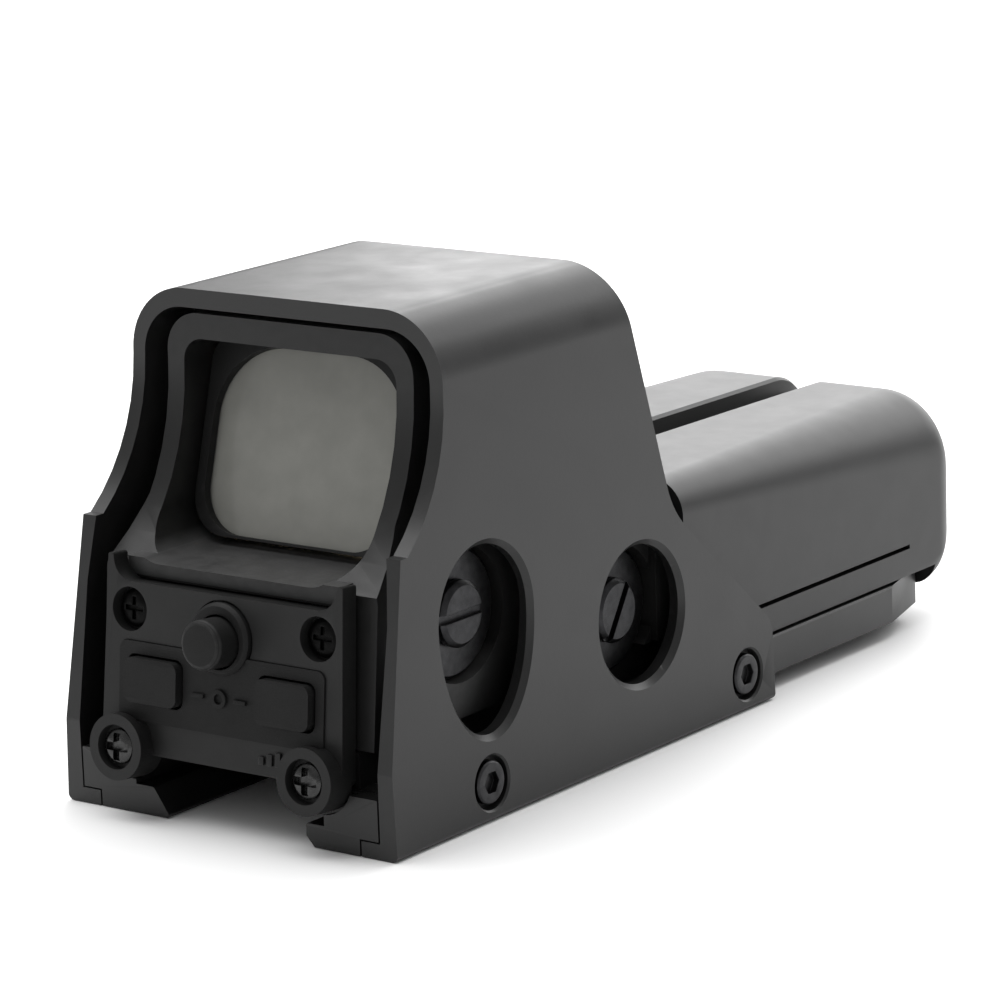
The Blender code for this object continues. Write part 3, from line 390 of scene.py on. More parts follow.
def top_lit_paint(name, level, top_lit_level, roughness, specular):
    """Black paint, painted lighter on what faces up, as light from above would make it."""
    g = Graph(name)
    normal = g.node("ShaderNodeNewGeometry").outputs["Normal"]
    up = g.node("ShaderNodeSeparateXYZ", Vector=normal).outputs["Z"]
    # painted light: faces that point up are painted lighter, broken up by noise, as if lit from above
    painted_top_light = g.product(g.ranged(up, 0, 1, 0.6, 0.95), g.ranged(g.noise(0.4, 4), 0.7, 1.0))
    return g.surface(
        Base_Color=g.blend(painted_top_light, grey(level), grey(top_lit_level)),
        Roughness=g.ranged(g.noise(0.8, 3), roughness - 0.05, roughness + 0.05),
        Specular_IOR_Level=specular,
        Normal=g.bump(g.noise(4.0, 2), 0.004),
    )


FINISHES = {
    "anodised_shell": anodised("anodised_shell", 0.008, 0.36),
    "anodised_base": anodised("anodised_base", 0.008, 0.38),
    "moulded_panel": moulded("moulded_panel", 0.007, 0.5, 0.28, 0.004),
    "moulded_cap": moulded("moulded_cap", 0.009, 0.4, 0.4, 0.0003),
    # the housing's paint carries painted light from above on its upward faces
    "window_surround": top_lit_paint("window_surround", 0.006, 0.055, 0.42, 0.32),
    "rubber": moulded("rubber", 0.006, 0.62, 0.22, 0.01),
    "black_steel": machined("black_steel", (0.05, 0.05, 0.052), 0.34),
    "steel": machined("steel", (0.46, 0.46, 0.45), 0.3),
    "adjuster_steel": machined("adjuster_steel", (0.04, 0.04, 0.042), 0.34),
    "boss_steel": machined("boss_steel", (0.06, 0.06, 0.06), 0.22),
    "spring_steel": machined("spring_steel", (0.6, 0.58, 0.55), 0.28),
    # painted shade: the panel screws sit deep in their recesses, so their steel is painted near black to
    # stand in for the shade there
    "shade_darkened_steel": machined("shade_darkened_steel", (0.008, 0.008, 0.008), 0.38),
    "brass": machined("brass", (0.55, 0.38, 0.14), 0.32),
    "glass": glass("glass", (0.25, 0.25, 0.23), 1.5, 0.06),
    "lens_glass": glass("lens_glass", (0.75, 0.6, 0.4), 1.8, 0.85),
    "board": circuit("board"),
    "cell_wrap": sleeve("cell_wrap"),
    "red_led": lamp("red_led"),
}


# ---- pieces that stand for CAD nodes
SHAPES = bpy.data.collections.new("shapes")
bpy.context.scene.collection.children.link(SHAPES)
NODE_BODY = {node: body for body, nodes in RECORD["behaviour"]["bodies"].items() for node in nodes}


def empty(name, location, tilt=0.0, parent=None):
    """An empty that shapes are laid out on, tilted about X."""
    obj = bpy.data.objects.new(name, None)
    SHAPES.objects.link(obj)
    obj.location = Vector(location) * MM
    obj.rotation_euler = (tilt, 0, 0)
    obj.parent = parent
    return obj


SIGHT = empty("sight_frame", [-value for value in SIGHT_ORIGIN])
PANEL_FRAME = empty("panel_frame", (0, *PANEL_POINT), -PANEL_LEAN, SIGHT)
WINDOW_FRAME = empty("window_frame", (0, *WINDOW_CENTRE), -WINDOW_LEAN, SIGHT)


def add_object(name, mesh, frame=None):
    """A shape that isn't shown: part() makes a piece of it, or it cuts or joins another."""
    obj = bpy.data.objects.new(name, mesh)
    SHAPES.objects.link(obj)
    obj.parent = frame or SIGHT
    return obj


def show(name, data):
    """An object that is seen in the picture, or lights or frames it."""
    obj = bpy.data.objects.new(name, data)
    bpy.context.scene.collection.objects.link(obj)
    return obj


def baked(obj):
    """The object's shape as a mesh, with its modifiers applied."""
    graph = bpy.context.evaluated_depsgraph_get()
    return bpy.data.meshes.new_from_object(obj.evaluated_get(graph))


def part(obj, node, finish, edge=EDGE_RADIUS):
    """The piece that takes a CAD node's place."""
    piece = detail(obj, node + "_piece", node, finish, edge)
    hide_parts(node)


def detail(obj, name, node, finish, edge):
    """Rounds the shape's edges and makes it a piece that rides on a CAD node's body."""
    if obj.type == "MESH":
        round_edges(obj, edge)
    mesh = baked(obj)
    mesh.transform(obj.matrix_world)
    bpy.data.objects.remove(obj)
    mark_edges(mesh)
    piece = show(name, mesh)
    mesh = shade_evenly(piece)
    mesh.materials.clear()
    mesh.materials.append(FINISHES[finish])
    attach(piece, NODE_BODY[node])
    return piece


def round_edges(obj, width):
    """Bevels the sharp edges, and marks the new faces with the second material slot."""
    obj.data.materials.clear()
    for _ in range(2):
        obj.data.materials.append(None)
    bevel = obj.modifiers.new("Edges", "BEVEL")
    bevel.width = width * MM
    bevel.segments = 3
    bevel.limit_method = "ANGLE"
    bevel.angle_limit = SHARP_ANGLE
    bevel.use_clamp_overlap = True
    bevel.miter_outer = "MITER_ARC"
    bevel.material = 1


def shade_evenly(piece):
    """Smooth shading that stays flat on flat faces, kept in the piece's own mesh."""
    piece.data.shade_smooth()
    piece.data.set_sharp_from_angle(angle=SHARP_ANGLE)
    shade = piece.modifiers.new("Normals", "WEIGHTED_NORMAL")
    shade.keep_sharp = True
    mesh = baked(piece)
    piece.modifiers.remove(shade)
    piece.data = mesh
    return mesh


def mark_edges(mesh):
    """Keeps on each face corner whether it lies on a rounded edge, for the painted edge highlight in the
    materials.
    """
    shown = mesh.attributes.new("edge", "FLOAT", "CORNER")
    values = [0.0] * len(mesh.loops)
    for face in mesh.polygons:
        if face.material_index == 1:
            for i in face.loop_indices:
                values[i] = 1.0
        face.material_index = 0
    shown.data.foreach_set("value", values)


def rounded(corners):
    """The points of a closed outline from its corners (u, v, radius), with an arc at each radius."""
    points = []
    for i, (u, v, radius) in enumerate(corners):
        here = Vector((u, v))
        if not radius:
            points.append(here)
            continue
        before = (Vector(corners[i - 1][:2]) - here).normalized()
        after = (Vector(corners[(i + 1) % len(corners)][:2]) - here).normalized()
        half = before.angle(after) / 2
        centre = here + (before + after).normalized() * radius / math.sin(half)
        first = here + before * radius / math.tan(half) - centre
        last = here + after * radius / math.tan(half) - centre
        sweep = math.atan2(first.cross(last), first.dot(last))
        steps = max(2, math.ceil(abs(sweep) / ARC_STEP))
        for k in range(steps + 1):
            points.append(centre + Matrix.Rotation(sweep * k / steps, 2) @ first)
    return points


def arc(centre, radius, start, end, steps):
    """Corners, without rounding, along an arc from one angle to another in degrees."""
    corners = []
    for k in range(steps + 1):
        angle = math.radians(start + (end - start) * k / steps)
        corners.append((centre[0] + radius * math.cos(angle), centre[1] + radius * math.sin(angle), 0))
    return corners


def mirrored(corners):
    """A closed outline from its right half, listed upwards and outside first."""
    return list(corners) + [(-u, v, radius) for u, v, radius in reversed(corners)]


def rectangle(low, high, radius):
    corners = (low[0], low[1]), (high[0], low[1]), (high[0], high[1]), (low[0], high[1])
    return [(u, v, radius) for u, v in corners]


def circle(centre, radius):
    steps = 96
    return arc(centre, radius, 0, 360 - 360 / steps, steps - 1)


def span(side, near, far):
    """Two distances from the middle plane, as x on one side of it and in rising order."""
    return sorted((side * near, side * far))


PLANES = {
    "XY": Matrix.Identity(4),
    "XZ": Matrix(((1, 0, 0, 0), (0, 0, -1, 0), (0, 1, 0, 0), (0, 0, 0, 1))),
    "YZ": Matrix(((0, 0, 1, 0), (1, 0, 0, 0), (0, 1, 0, 0), (0, 0, 0, 1))),
}


def prism(plane, low, high, *outlines, frame=None):
    """A plate between two depths, from an outer outline and any holes in it."""
    curve = bpy.data.curves.new("outline", "CURVE")
    curve.dimensions = "2D"
    curve.fill_mode = "BOTH"
    curve.extrude = (high - low) / 2 * MM
    for corners in outlines:
        points = rounded(corners)
        spline = curve.splines.new("POLY")
        spline.points.add(len(points) - 1)
        for place, point in zip(spline.points, points):
            place.co = (point.x * MM, point.y * MM, 0, 1)
        spline.use_cyclic_u = True
    guide = bpy.data.objects.new("outline", curve)
    SHAPES.objects.link(guide)
    mesh = baked(guide)
    bpy.data.objects.remove(guide)
    bpy.data.curves.remove(curve)
    middle = (low + high) / 2 * MM * (-1 if plane == "XZ" else 1)
    mesh.transform(PLANES[plane] @ Matrix.Translation((0, 0, middle)))
    weld(mesh)
    return add_object("plate", mesh, frame)


def weld(mesh):
    shape = bmesh.new()
    shape.from_mesh(mesh)
    bmesh.ops.remove_doubles(shape, verts=shape.verts, dist=1e-7)
    bmesh.ops.recalc_face_normals(shape, faces=shape.faces)
    shape.to_mesh(mesh)
    shape.free()


def box(low, high, frame=None):
    shape = bmesh.new()
    bmesh.ops.create_cube(shape, size=1)
    size = (Vector(high) - Vector(low)) * MM
    centre = (Vector(high) + Vector(low)) / 2 * MM
    place = Matrix.Translation(centre) @ Matrix.Diagonal((*size, 1))
    bmesh.ops.transform(shape, matrix=place, verts=shape.verts)
    return add_object("block", mesh_of(shape), frame)


def mesh_of(shape):
    mesh = bpy.data.meshes.new("shape")
    shape.to_mesh(mesh)
    shape.free()
    return mesh


def skin(rings):
    """A closed shape through rings of (x, y, z) points."""
    shape = bmesh.new()
    rings = [[shape.verts.new(Vector(point) * MM) for point in ring] for ring in rings]
    for before, after in zip(rings, rings[1:]):
        for i in range(len(before)):
            j = (i + 1) % len(before)
            shape.faces.new((before[i], before[j], after[j], after[i]))
    shape.faces.new(rings[0])
    shape.faces.new(rings[-1])
    bmesh.ops.recalc_face_normals(shape, faces=shape.faces)
    return add_object("skin", mesh_of(shape))


TURNS = {
    "X": Matrix.Rotation(math.pi / 2, 4, "Y"),
    "Y": Matrix.Rotation(-math.pi / 2, 4, "X"),
    "Z": Matrix.Identity(4),
}


def cylinder(axis, centre, radius, low, high, frame=None, steps=64):
    """A cylinder along an axis: centre holds its two other coordinates, low and high its ends."""
    shape = bmesh.new()
    wide, deep = radius * MM, (high - low) * MM
    bmesh.ops.create_cone(shape, cap_ends=True, segments=steps, radius1=wide, radius2=wide, depth=deep)
    bmesh.ops.transform(shape, matrix=TURNS[axis], verts=shape.verts)
    middle = (low + high) / 2
    place = {
        "X": (middle, centre[0], centre[1]),
        "Y": (centre[0], middle, centre[1]),
        "Z": (centre[0], centre[1], middle),
    }[axis]
    bmesh.ops.translate(shape, vec=Vector(place) * MM, verts=shape.verts)
    obj = add_object("rod", mesh_of(shape), frame)
    smooth(obj)
    return obj


def smooth(obj):
    obj.data.shade_smooth()
    obj.data.set_sharp_from_angle(angle=SMOOTH_ANGLE)


def turned(axis, at, profile, frame=None, steps=72, flip=False):
    """A turned piece: profile is (radius, height along the axis), from its top down to its bottom."""
    mesh = bpy.data.meshes.new("profile")
    points = [(radius * MM, 0, height * MM) for radius, height in profile]
    mesh.from_pydata(points, [(i, i + 1) for i in range(len(points) - 1)], [])
    obj = add_object("turned", mesh, frame)
    turn = obj.modifiers.new("Turn", "SCREW")
    turn.steps = steps
    turn.render_steps = steps
    turn.use_merge_vertices = True
    turn.merge_threshold = 1e-6
    turn.use_smooth_shade = False
    made = baked(obj)
    bpy.data.objects.remove(obj)
    turned_about = TURNS[axis] @ Matrix.Rotation(math.pi if flip else 0, 4, "Y")
    made.transform(Matrix.Translation(Vector(at) * MM) @ turned_about)
    weld(made)
    obj = add_object("turned", made, frame)
    smooth(obj)
    return obj


def boolean(target, operation, others):
    for other in others:
        modifier = target.modifiers.new(operation.title(), "BOOLEAN")
        modifier.operation = operation
        modifier.solver = "EXACT"
        modifier.object = other
    return target


def cut(target, *others):
    return boolean(target, "DIFFERENCE", others)


def fuse(target, *others):
    return boolean(target, "UNION", others)


def common(target, *others):
    return boolean(target, "INTERSECT", others)


# ---- hood and its screws
def hood_side_profile():
    """The hood seen from the side: (y, z) corners."""
    sweep_centre = (HOOD_RIM_Y - HOOD_SWEEP_RADIUS, HOOD_SWEEP_TOP)
    sweep_end = math.degrees(math.asin((HOOD_SWEEP_TOP - HOOD_NOTCH_Z) / HOOD_SWEEP_RADIUS))
    return [
        (0, 0, 0),
        (HOOD_LENGTH, 0, 0.6),
        (HOOD_LENGTH, 10.7, 4),
        (60.7, 30.0, 12),
        (51.2, HOOD_HEIGHT + 1, 0),
        (HOOD_RIM_Y, HOOD_HEIGHT + 1, 0),
        *arc(sweep_centre, HOOD_SWEEP_RADIUS, 0, -sweep_end, 7),
        (HOOD_NOTCH_Y, HOOD_NOTCH_Z, 0),
        (0, 10.5, 3),
    ]


def adjuster_hole_outlines(grow):
    """The egg-shaped rear hole and the round front hole, grown a little: (y, z) corners."""
    y, z = REAR_ADJUSTER
    radius, drop = SIDE_HOLE_RADIUS + grow, REAR_HOLE_DROP + grow
    egg = arc((y, z), radius, 0, 180, 36)
    for k in range(1, 36):
        angle = math.pi * (1 + k / 36)
        egg.append((y + radius * math.cos(angle), z + drop * math.sin(angle), 0))
    return egg, circle(FRONT_ADJUSTER, radius)


def flare(narrow, wide, depth, side=1):
    """A cutter for a chamfer in the hood's leaning side, narrow below the surface and wide above it."""
    rings = []
    for corners, sink in ((narrow, depth + CHAMFER_SPARE), (wide, -CHAMFER_SPARE)):
        half = HOOD_HALF_WIDTH - sink
        rings.append([(side * (half - HOOD_TAPER * z), y, z) for y, z, _ in corners])
    return skin(rings)


def make_hood():
    top_half = HOOD_HALF_WIDTH - HOOD_TAPER * HOOD_HEIGHT
    outside = mirrored([(HOOD_HALF_WIDTH, 0, 0.8), (top_half, HOOD_HEIGHT, HOOD_RIM_CORNER)])
    inside = mirrored(
        [
            (FOOT_HALF + 0.25, -1, 0),
            (FOOT_HALF + 0.25, FLANGE_Z[0] - 0.2, 0),
            (FLANGE_HALF + 0.25, FLANGE_Z[0] - 0.2, 0),
            (FLANGE_HALF + 0.25, FLANGE_Z[1] + 0.25, 0),
            (*HOOD_INNER[0], 0),
            (*HOOD_INNER[1], 0),
            (*HOOD_INNER[2], 6.3),
        ]
    )
    hood = prism("XZ", -1, HOOD_LENGTH + 1, outside)
    common(hood, prism("YZ", -PAST, PAST, hood_side_profile()))
    cut(hood, prism("XZ", -2, HOOD_LENGTH + 2, inside))
    narrow = adjuster_hole_outlines(-HOLE_CHAMFER - CHAMFER_SPARE)
    wide = adjuster_hole_outlines(CHAMFER_SPARE)
    for k, outline in enumerate(adjuster_hole_outlines(-HOLE_CHAMFER)):
        cut(hood, flare(narrow[k], wide[k], HOLE_CHAMFER))
        cut(hood, prism("YZ", 20, 30, outline))
    for y in HOOD_SCREWS_Y:
        at = (y, HOOD_SCREW_Z)
        narrow = circle(at, COUNTERBORE_RADIUS - CHAMFER_SPARE)
        wide = circle(at, COUNTERBORE_RADIUS + COUNTERBORE_CHAMFER + CHAMFER_SPARE)
        for side in (-1, 1):
            cut(hood, flare(narrow, wide, COUNTERBORE_CHAMFER, side))
            cut(hood, cylinder("X", at, COUNTERBORE_RADIUS, *span(side, COUNTERBORE_FLOOR_X, PAST)))
            cut(hood, cylinder("X", at, SCREW_HOLE_RADIUS, *span(side, 22, 27), steps=SMALL_STEPS))
    part(hood, "hood", "anodised_shell")


def make_hood_screws():
    """Low socket-head screws: a hexagonal socket faces outwards on each side of the hood."""
    for y, end in zip(HOOD_SCREWS_Y, ("rear", "front")):
        for side, hand in ((-1, "left"), (1, "right")):
            head = [(0, 1.35), (2.5, 1.35), (2.75, 1.1), (2.75, 0)]
            shank = [(1.45, 0), (1.45, -4.2), (0, -4.2)]
            at = (side * (COUNTERBORE_FLOOR_X + 0.1), y, HOOD_SCREW_Z)
            screw = turned("X", at, head + shank, flip=side < 0)
            ends = span(side, COUNTERBORE_FLOOR_X + 0.6, 27)
            cut(screw, cylinder("X", (y, HOOD_SCREW_Z), 1.5, *ends, steps=6))
            part(screw, f"hood_screw_{hand}_{end}", "black_steel")


# ---- base and rail clamp
def make_base():
    left, right = RAIL_CHANNEL
    tip_left, tip_right = RAIL_GAP
    channel = [
        (tip_left - 0.2, 0, 0.4),
        (-11.8, 3.7, 0.5),
        (left, 3.7, 0),
        (left, SEAT_Z, 0),
        (right, SEAT_Z, 0),
        (right, 2.9, 0),
        (tip_right, 2.9, 0.3),
        (tip_right, 1.3, 0),
        (tip_right + 1.2, 0, 0),
    ]
    outside = [
        (FOOT_HALF, 0, 0),
        (FOOT_HALF, FLANGE_Z[0], 0),
        (FLANGE_HALF, FLANGE_Z[0], 0),
        (FLANGE_HALF, FLANGE_Z[1], 0.3),
        (BASE_DECK_HALF, FLANGE_Z[1], 0),
        (BASE_DECK_HALF, BASE_TOP, 0),
    ]
    base = prism("XZ", 0, BASE_END_Y, channel + mirrored(outside))
    plan = [
        (PAST, -1, 0),
        (PAST, FACET_START_Y, 0),
        (FLANGE_HALF, FACET_START_Y, 0),
        (FACET_END_X, BASE_END_Y, 1.2),
    ]
    common(base, prism("XY", -1, 20, mirrored(plan)))
    end = BASE_END_Y + 1
    side = [(-1, -1, 0), (end - 3.5, -1, 0), (end, 2.6, 0), (end, 20, 0), (-1, 20, 0)]
    common(base, prism("YZ", -PAST, PAST, side))
    cut(base, box((-25, -1, FLANGE_Z[1] - 0.1), (25, DECK_START_Y, 20)))
    cut(base, box((-25, DECK_END_Y, 9.6), (25, 140, 20)))
    fuse(base, box((-4.5, LIP_Y[0], 9.0), (4.5, LIP_Y[1], 10.6)))
    for sign in (-1, 1):
        low, high = span(sign, FOOT_FRONT_HALF, PAST)
        cut(base, box((low, FOOT_CUT_Y, -1), (high, 140, FLANGE_Z[0] + 0.05)))
    for sign in (-1, 1):
        boss = on_side(sign, BOSS_CENTRE)
        cut(base, panel_rod(boss, BOSS_RADIUS + 0.4, -5, 3.0))
        cut(base, panel_rod(boss, SCREW_HOLE_RADIUS, 0, 12, steps=SMALL_STEPS))
        for y in HOOD_SCREWS_Y:
            at = (y, HOOD_SCREW_Z)
            cut(base, cylinder("X", at, SCREW_HOLE_RADIUS, *span(sign, 18.5, 25), steps=SMALL_STEPS))
    cut(base, cylinder("X", (BOLT_Y, BOLT_Z), BOLT_RADIUS + 0.2, -PAST, 21.5))
    cut(base, box((tip_right - 1, JAW_Y[0] - 0.4, -1), (20.0, JAW_Y[1] + 0.4, 7.3)))
    for y in HOUSING_SCREWS_Y:
        cut(base, cylinder("Z", (0, y), 3.1, 5, 9.6))
        cut(base, cylinder("Z", (0, y), SCREW_HOLE_RADIUS, 5, 14, steps=SMALL_STEPS))
    part(base, "base", "anodised_base")


def make_housing_screws():
    """Screws up through the channel roof: one into the housing, one into the battery block."""
    for y, name in zip(HOUSING_SCREWS_Y, ("rear", "front")):
        profile = [(0, 7.0), (1.35, 7.0), (1.35, 1.8), (2.8, 1.8), (2.8, 0.3), (2.5, 0), (0, 0)]
        screw = turned("Z", (0, y, SEAT_Z + 0.1), profile, steps=SMALL_STEPS)
        cut(screw, cylinder("Z", (0, y), 1.3, 5, SEAT_Z + 1.0, steps=6))
        part(screw, f"base_screw_{name}", "black_steel")


def make_clamp():
    """The jaw that moves in from the right, its cross bolt and the slotted head on the left."""
    tip = RAIL_GAP[1]
    section = [
        (16.6, 0.3, 0),
        (16.6, 2.5, 0),
        (19.6, 2.5, 0),
        (19.6, 7.0, 0),
        (tip + 2.8, 7.0, 0),
        (tip + 2.8, 3.9, 0),
        (tip, 0.8, 0),
        (tip + 0.5, 0.3, 0),
    ]
    jaw = prism("XZ", *JAW_Y, section[::-1])
    cut(jaw, cylinder("X", (BOLT_Y, BOLT_Z), BOLT_RADIUS + 0.15, 5, 25))
    part(jaw, "clamp_jaw", "black_steel")

    bolt = cylinder("X", (BOLT_Y, BOLT_Z), BOLT_RADIUS, -FLANGE_HALF - 0.6, 19.2)
    part(bolt, "clamp_bolt", "steel")

    head_x = -FLANGE_HALF - 0.5
    head = [(0, 5.3), (4.2, 5.3), (KNOB_RADIUS, 4.7), (KNOB_RADIUS, 0.6), (4.3, 0), (0, 0)]
    knob = turned("X", (head_x, BOLT_Y, BOLT_Z), head, steps=24, flip=True)
    ridges = []
    for k in range(24):
        angle = math.radians(15 * k + 7)
        radius = KNOB_RADIUS + (0.3 if k % 2 else -0.35)
        ridges.append((BOLT_Y + radius * math.cos(angle), BOLT_Z + radius * math.sin(angle), 0))
    common(knob, prism("YZ", head_x - 8, head_x + 3, ridges))
    cut(knob, box((head_x - 7, BOLT_Y - 0.8, -1), (head_x - 3.6, BOLT_Y + 0.8, 12)))
    cut(knob, cylinder("X", (BOLT_Y, BOLT_Z), BOLT_RADIUS + 0.1, head_x - 1.5, head_x + 2))
    part(knob, "clamp_knob", "black_steel")


# ---- optical housing, window and lens
def housing_side_profile():
    """The housing seen from the side: (y, z) corners."""
    sweep_centre = (HOUSING_FRAME_Y - HOUSING_SWEEP_RADIUS, HOUSING_SWEEP_TOP)
    sweep_end = math.degrees(math.asin((HOUSING_SWEEP_TOP - TUNNEL_Z[0]) / HOUSING_SWEEP_RADIUS))
    return [
        (2.4, HOUSING_BOTTOM, 0),
        (60.5, HOUSING_BOTTOM, 0),
        (60.5, 27.0, 0),
        (59.0, TUNNEL_Z[0], 0),
        (51.4, HOUSING_TOP + 1, 0),
        (HOUSING_FRAME_Y, HOUSING_TOP + 1, 0),
        *arc(sweep_centre, HOUSING_SWEEP_RADIUS, 0, -sweep_end, 7),
        (4.3, TUNNEL_Z[0] - 0.5, 0),
    ]


def make_optical_housing():
    outside = mirrored(
        [
            (HOUSING_LOW_HALF, HOUSING_BOTTOM, 0),
            (HOUSING_LOW_HALF, 30.0, 0),
            (HOUSING_HIGH_HALF, 38.0, 0),
            (HOUSING_HIGH_HALF, HOUSING_TOP, 5.0),
        ]
    )
    housing = prism("XZ", 0, 62, outside)
    common(housing, prism("YZ", -25, 25, housing_side_profile()))
    brow = mirrored([(BROW_HALF, 29.65, 1.9), (BROW_HALF, TUNNEL_Z[0] + 0.6, 0)])
    fuse(housing, prism("XZ", 3.0, 6.0, brow))
    tunnel = mirrored([(TUNNEL_HALF, TUNNEL_Z[0], 5.0), (TUNNEL_HALF, TUNNEL_Z[1], 3.0)])
    cut(housing, prism("XZ", -5, 70, tunnel))
    cut(housing, box((-CHAMBER_HALF, -5, 5), (CHAMBER_HALF, 58.0, CHAMBER_TOP)))
    cut(housing, box((-4.6, 22.5, CHAMBER_TOP - 1), (4.6, 33.5, TUNNEL_Z[0] + 1)))
    for y, z in (REAR_ADJUSTER, FRONT_ADJUSTER):
        cut(housing, cylinder("X", (y, z), 8.6, 19.0, 25))
        cut(housing, cylinder("X", (y, z), 4.8, 10, 25))
    half = CHAMBER_HALF + 0.5
    fuse(housing, box((-half, 8.8, HOUSING_BOTTOM), (half, 15.5, HOUSING_BOTTOM + 1.8)))
    cut(housing, cylinder("Z", (0, HOUSING_SCREWS_Y[0]), 1.6, 10, 16, steps=SMALL_STEPS))
    for side in (-1, 1):
        x, z = side * PANEL_SCREWS[0], PANEL_POINT[1]
        fuse(housing, box((x - 2.4, 4.4, z - 2.6), (x + 2.4, 7.0, CHAMBER_TOP + 0.5)))
        cut(housing, panel_rod((x, PANEL_SCREWS[1]), 1.4, 0, 12, steps=SMALL_STEPS))
    part(housing, "optical_housing", "window_surround")


def pane_outline(margin, drop=0.0):
    """An outline that fills the tunnel about the window's middle; drop lengthens it downwards."""
    wide = TUNNEL_HALF - margin
    high = PANE_HALF_HEIGHT - margin
    return mirrored([(wide, -high - drop, 5.2), (wide, high, 3.2)])


def make_windows():
    wide, down, up = WINDOW_APERTURE
    aperture = mirrored([(wide, -down, 6.0), (wide, up, 9.3)])
    bezel = prism("XZ", -1.2, 0, pane_outline(0.35, 0.5), aperture, frame=WINDOW_FRAME)
    part(bezel, "window_bezel", "moulded_panel", edge=0.15)
    window = prism("XZ", 0.3, 2.3, pane_outline(0.5, 0.5), frame=WINDOW_FRAME)
    part(window, "rear_window", "glass")

    middle = LENS_CENTRE[1]
    outer = [(u, v + middle, radius) for u, v, radius in pane_outline(0.3)]
    opening = mirrored([(14.4, middle - 10.4, 4.0), (14.4, middle + 10.4, 4.0)])
    rebate = mirrored([(15.6, middle - 11.5, 3.0), (15.6, middle + 11.5, 3.0)])
    carrier = prism("XZ", LENS_CENTRE[0] - 3.5, LENS_CENTRE[0] + 1.6, outer, opening)
    cut(carrier, prism("XZ", LENS_CENTRE[0] - 2.2, LENS_CENTRE[0] + 3, rebate))
    part(carrier, "lens_carrier", "moulded_panel")
    lens_outline = mirrored([(15.3, middle - 11.2, 2.8), (15.3, middle + 11.2, 2.8)])
    lens = prism("XZ", LENS_CENTRE[0] - 1.9, LENS_CENTRE[0] + 1.3, lens_outline)
    part(lens, "reflector_lens", "lens_glass")


# ---- adjusters and emitter
def make_adjusters():
    adjusters = (REAR_ADJUSTER, "elevation", 9.5), (FRONT_ADJUSTER, "windage", 5.5)
    for (y, z), name, inner_end in adjusters:
        rim = [(0, 20.0), (7.9, 20.0), (8.25, 19.65), (8.25, 19.3), (4.5, 19.3), (4.5, 16.4), (0, 16.4)]
        bushing = turned("X", (0, y, z), rim)
        cut(bushing, cylinder("X", (y, z), 2.5, 10, 25))
        part(bushing, f"{name}_bushing", "black_steel")
        head = [(0, 21.75), (3.6, 21.75), (4.2, 21.2), (4.2, 20.3)]
        head += [(2.25, 20.3), (2.25, inner_end), (0, inner_end)]
        screw = turned("X", (0, y, z), head)
        slot = box((21.0, y - 6, z - 0.55), (24, y + 6, z + 0.55))
        if name == "windage":
            tilt = Matrix.Rotation(math.radians(57), 4, "X")
            here = Vector((0, y, z)) * MM
            slot.data.transform(Matrix.Translation(here) @ tilt @ Matrix.Translation(-here))
        cut(screw, slot)
        part(screw, f"{name}_screw", "adjuster_steel")


def make_emitter():
    """The carriage that windage moves sideways, and the block on it that elevation lifts."""
    y, z = FRONT_ADJUSTER
    carriage = box((-9, 47.5, 14.0), (9, 57.2, 22.8))
    cut(carriage, cylinder("X", (y, z), 2.45, 0, 12))
    fuse(carriage, box((-5, 24.0, 14.0), (5, 48.0, 17.3)))
    for side in (-1, 1):
        fuse(carriage, cylinder("Z", (side * 2.9, 28.6), 1.0, 16.5, 23.0, steps=SMALL_STEPS))
    part(carriage, "windage_carriage", "brass")

    y, z = REAR_ADJUSTER
    block = box((-4.4, 24.4, 18.6), (4.4, 32.6, 28.2))
    for side in (-1, 1):
        cut(block, cylinder("Z", (side * 2.9, 28.6), 1.25, 17, 25.0, steps=SMALL_STEPS))
    ramp = [(-4.4, 22.85 + 0.2, 0), (4.4, 27.25 + 0.2, 0), (4.4, 28.2, 0), (-4.4, 28.2, 0)]
    fuse(block, prism("XZ", 17.2, 24.8, ramp))
    cut(block, cylinder("Z", (0, 28.6), 1.0, 27.2, 30, steps=SMALL_STEPS))
    part(block, "emitter_block", "brass")

    wedge_section = [(-4.4, 21.6, 0), (13.0, 21.6, 0), (13.0, 28.4, 0), (7.2, 28.4, 0)]
    wedge_section += [(7.2, 27.2, 0), (5.6, 27.2, 0), (-4.4, 22.2, 0)]
    wedge = prism("XZ", 16.9, 23.9, wedge_section)
    cut(wedge, cylinder("X", (y, z), 2.45, 8.2, 16))
    part(wedge, "elevation_wedge", "steel")

    bulb = [(0, 1.7), (0.9, 1.5), (1.4, 0.9), (1.5, 0), (0.75, 0), (0.75, -0.9), (0, -0.9)]
    led = turned("Z", (0, 28.6, 28.4), bulb, steps=SMALL_STEPS)
    part(led, "led", "red_led")


# ---- button panel
def panel_rod(place, radius, low, high, steps=64):
    """A cylinder square to the panel."""
    return cylinder("Y", place, radius, low, high, frame=PANEL_FRAME, steps=steps)


def panel_plate(low, high, *outlines):
    return prism("XZ", low, high, *outlines, frame=PANEL_FRAME)


def panel_box(low, high):
    return box(low, high, frame=PANEL_FRAME)


def panel_turned(place, profile, steps=72):
    x, z = place
    return turned("Y", (x, 0, z), profile, frame=PANEL_FRAME, steps=steps)


def on_side(side, place):
    """A place on the panel, or its mirror image on the left."""
    return side * place[0], place[1]


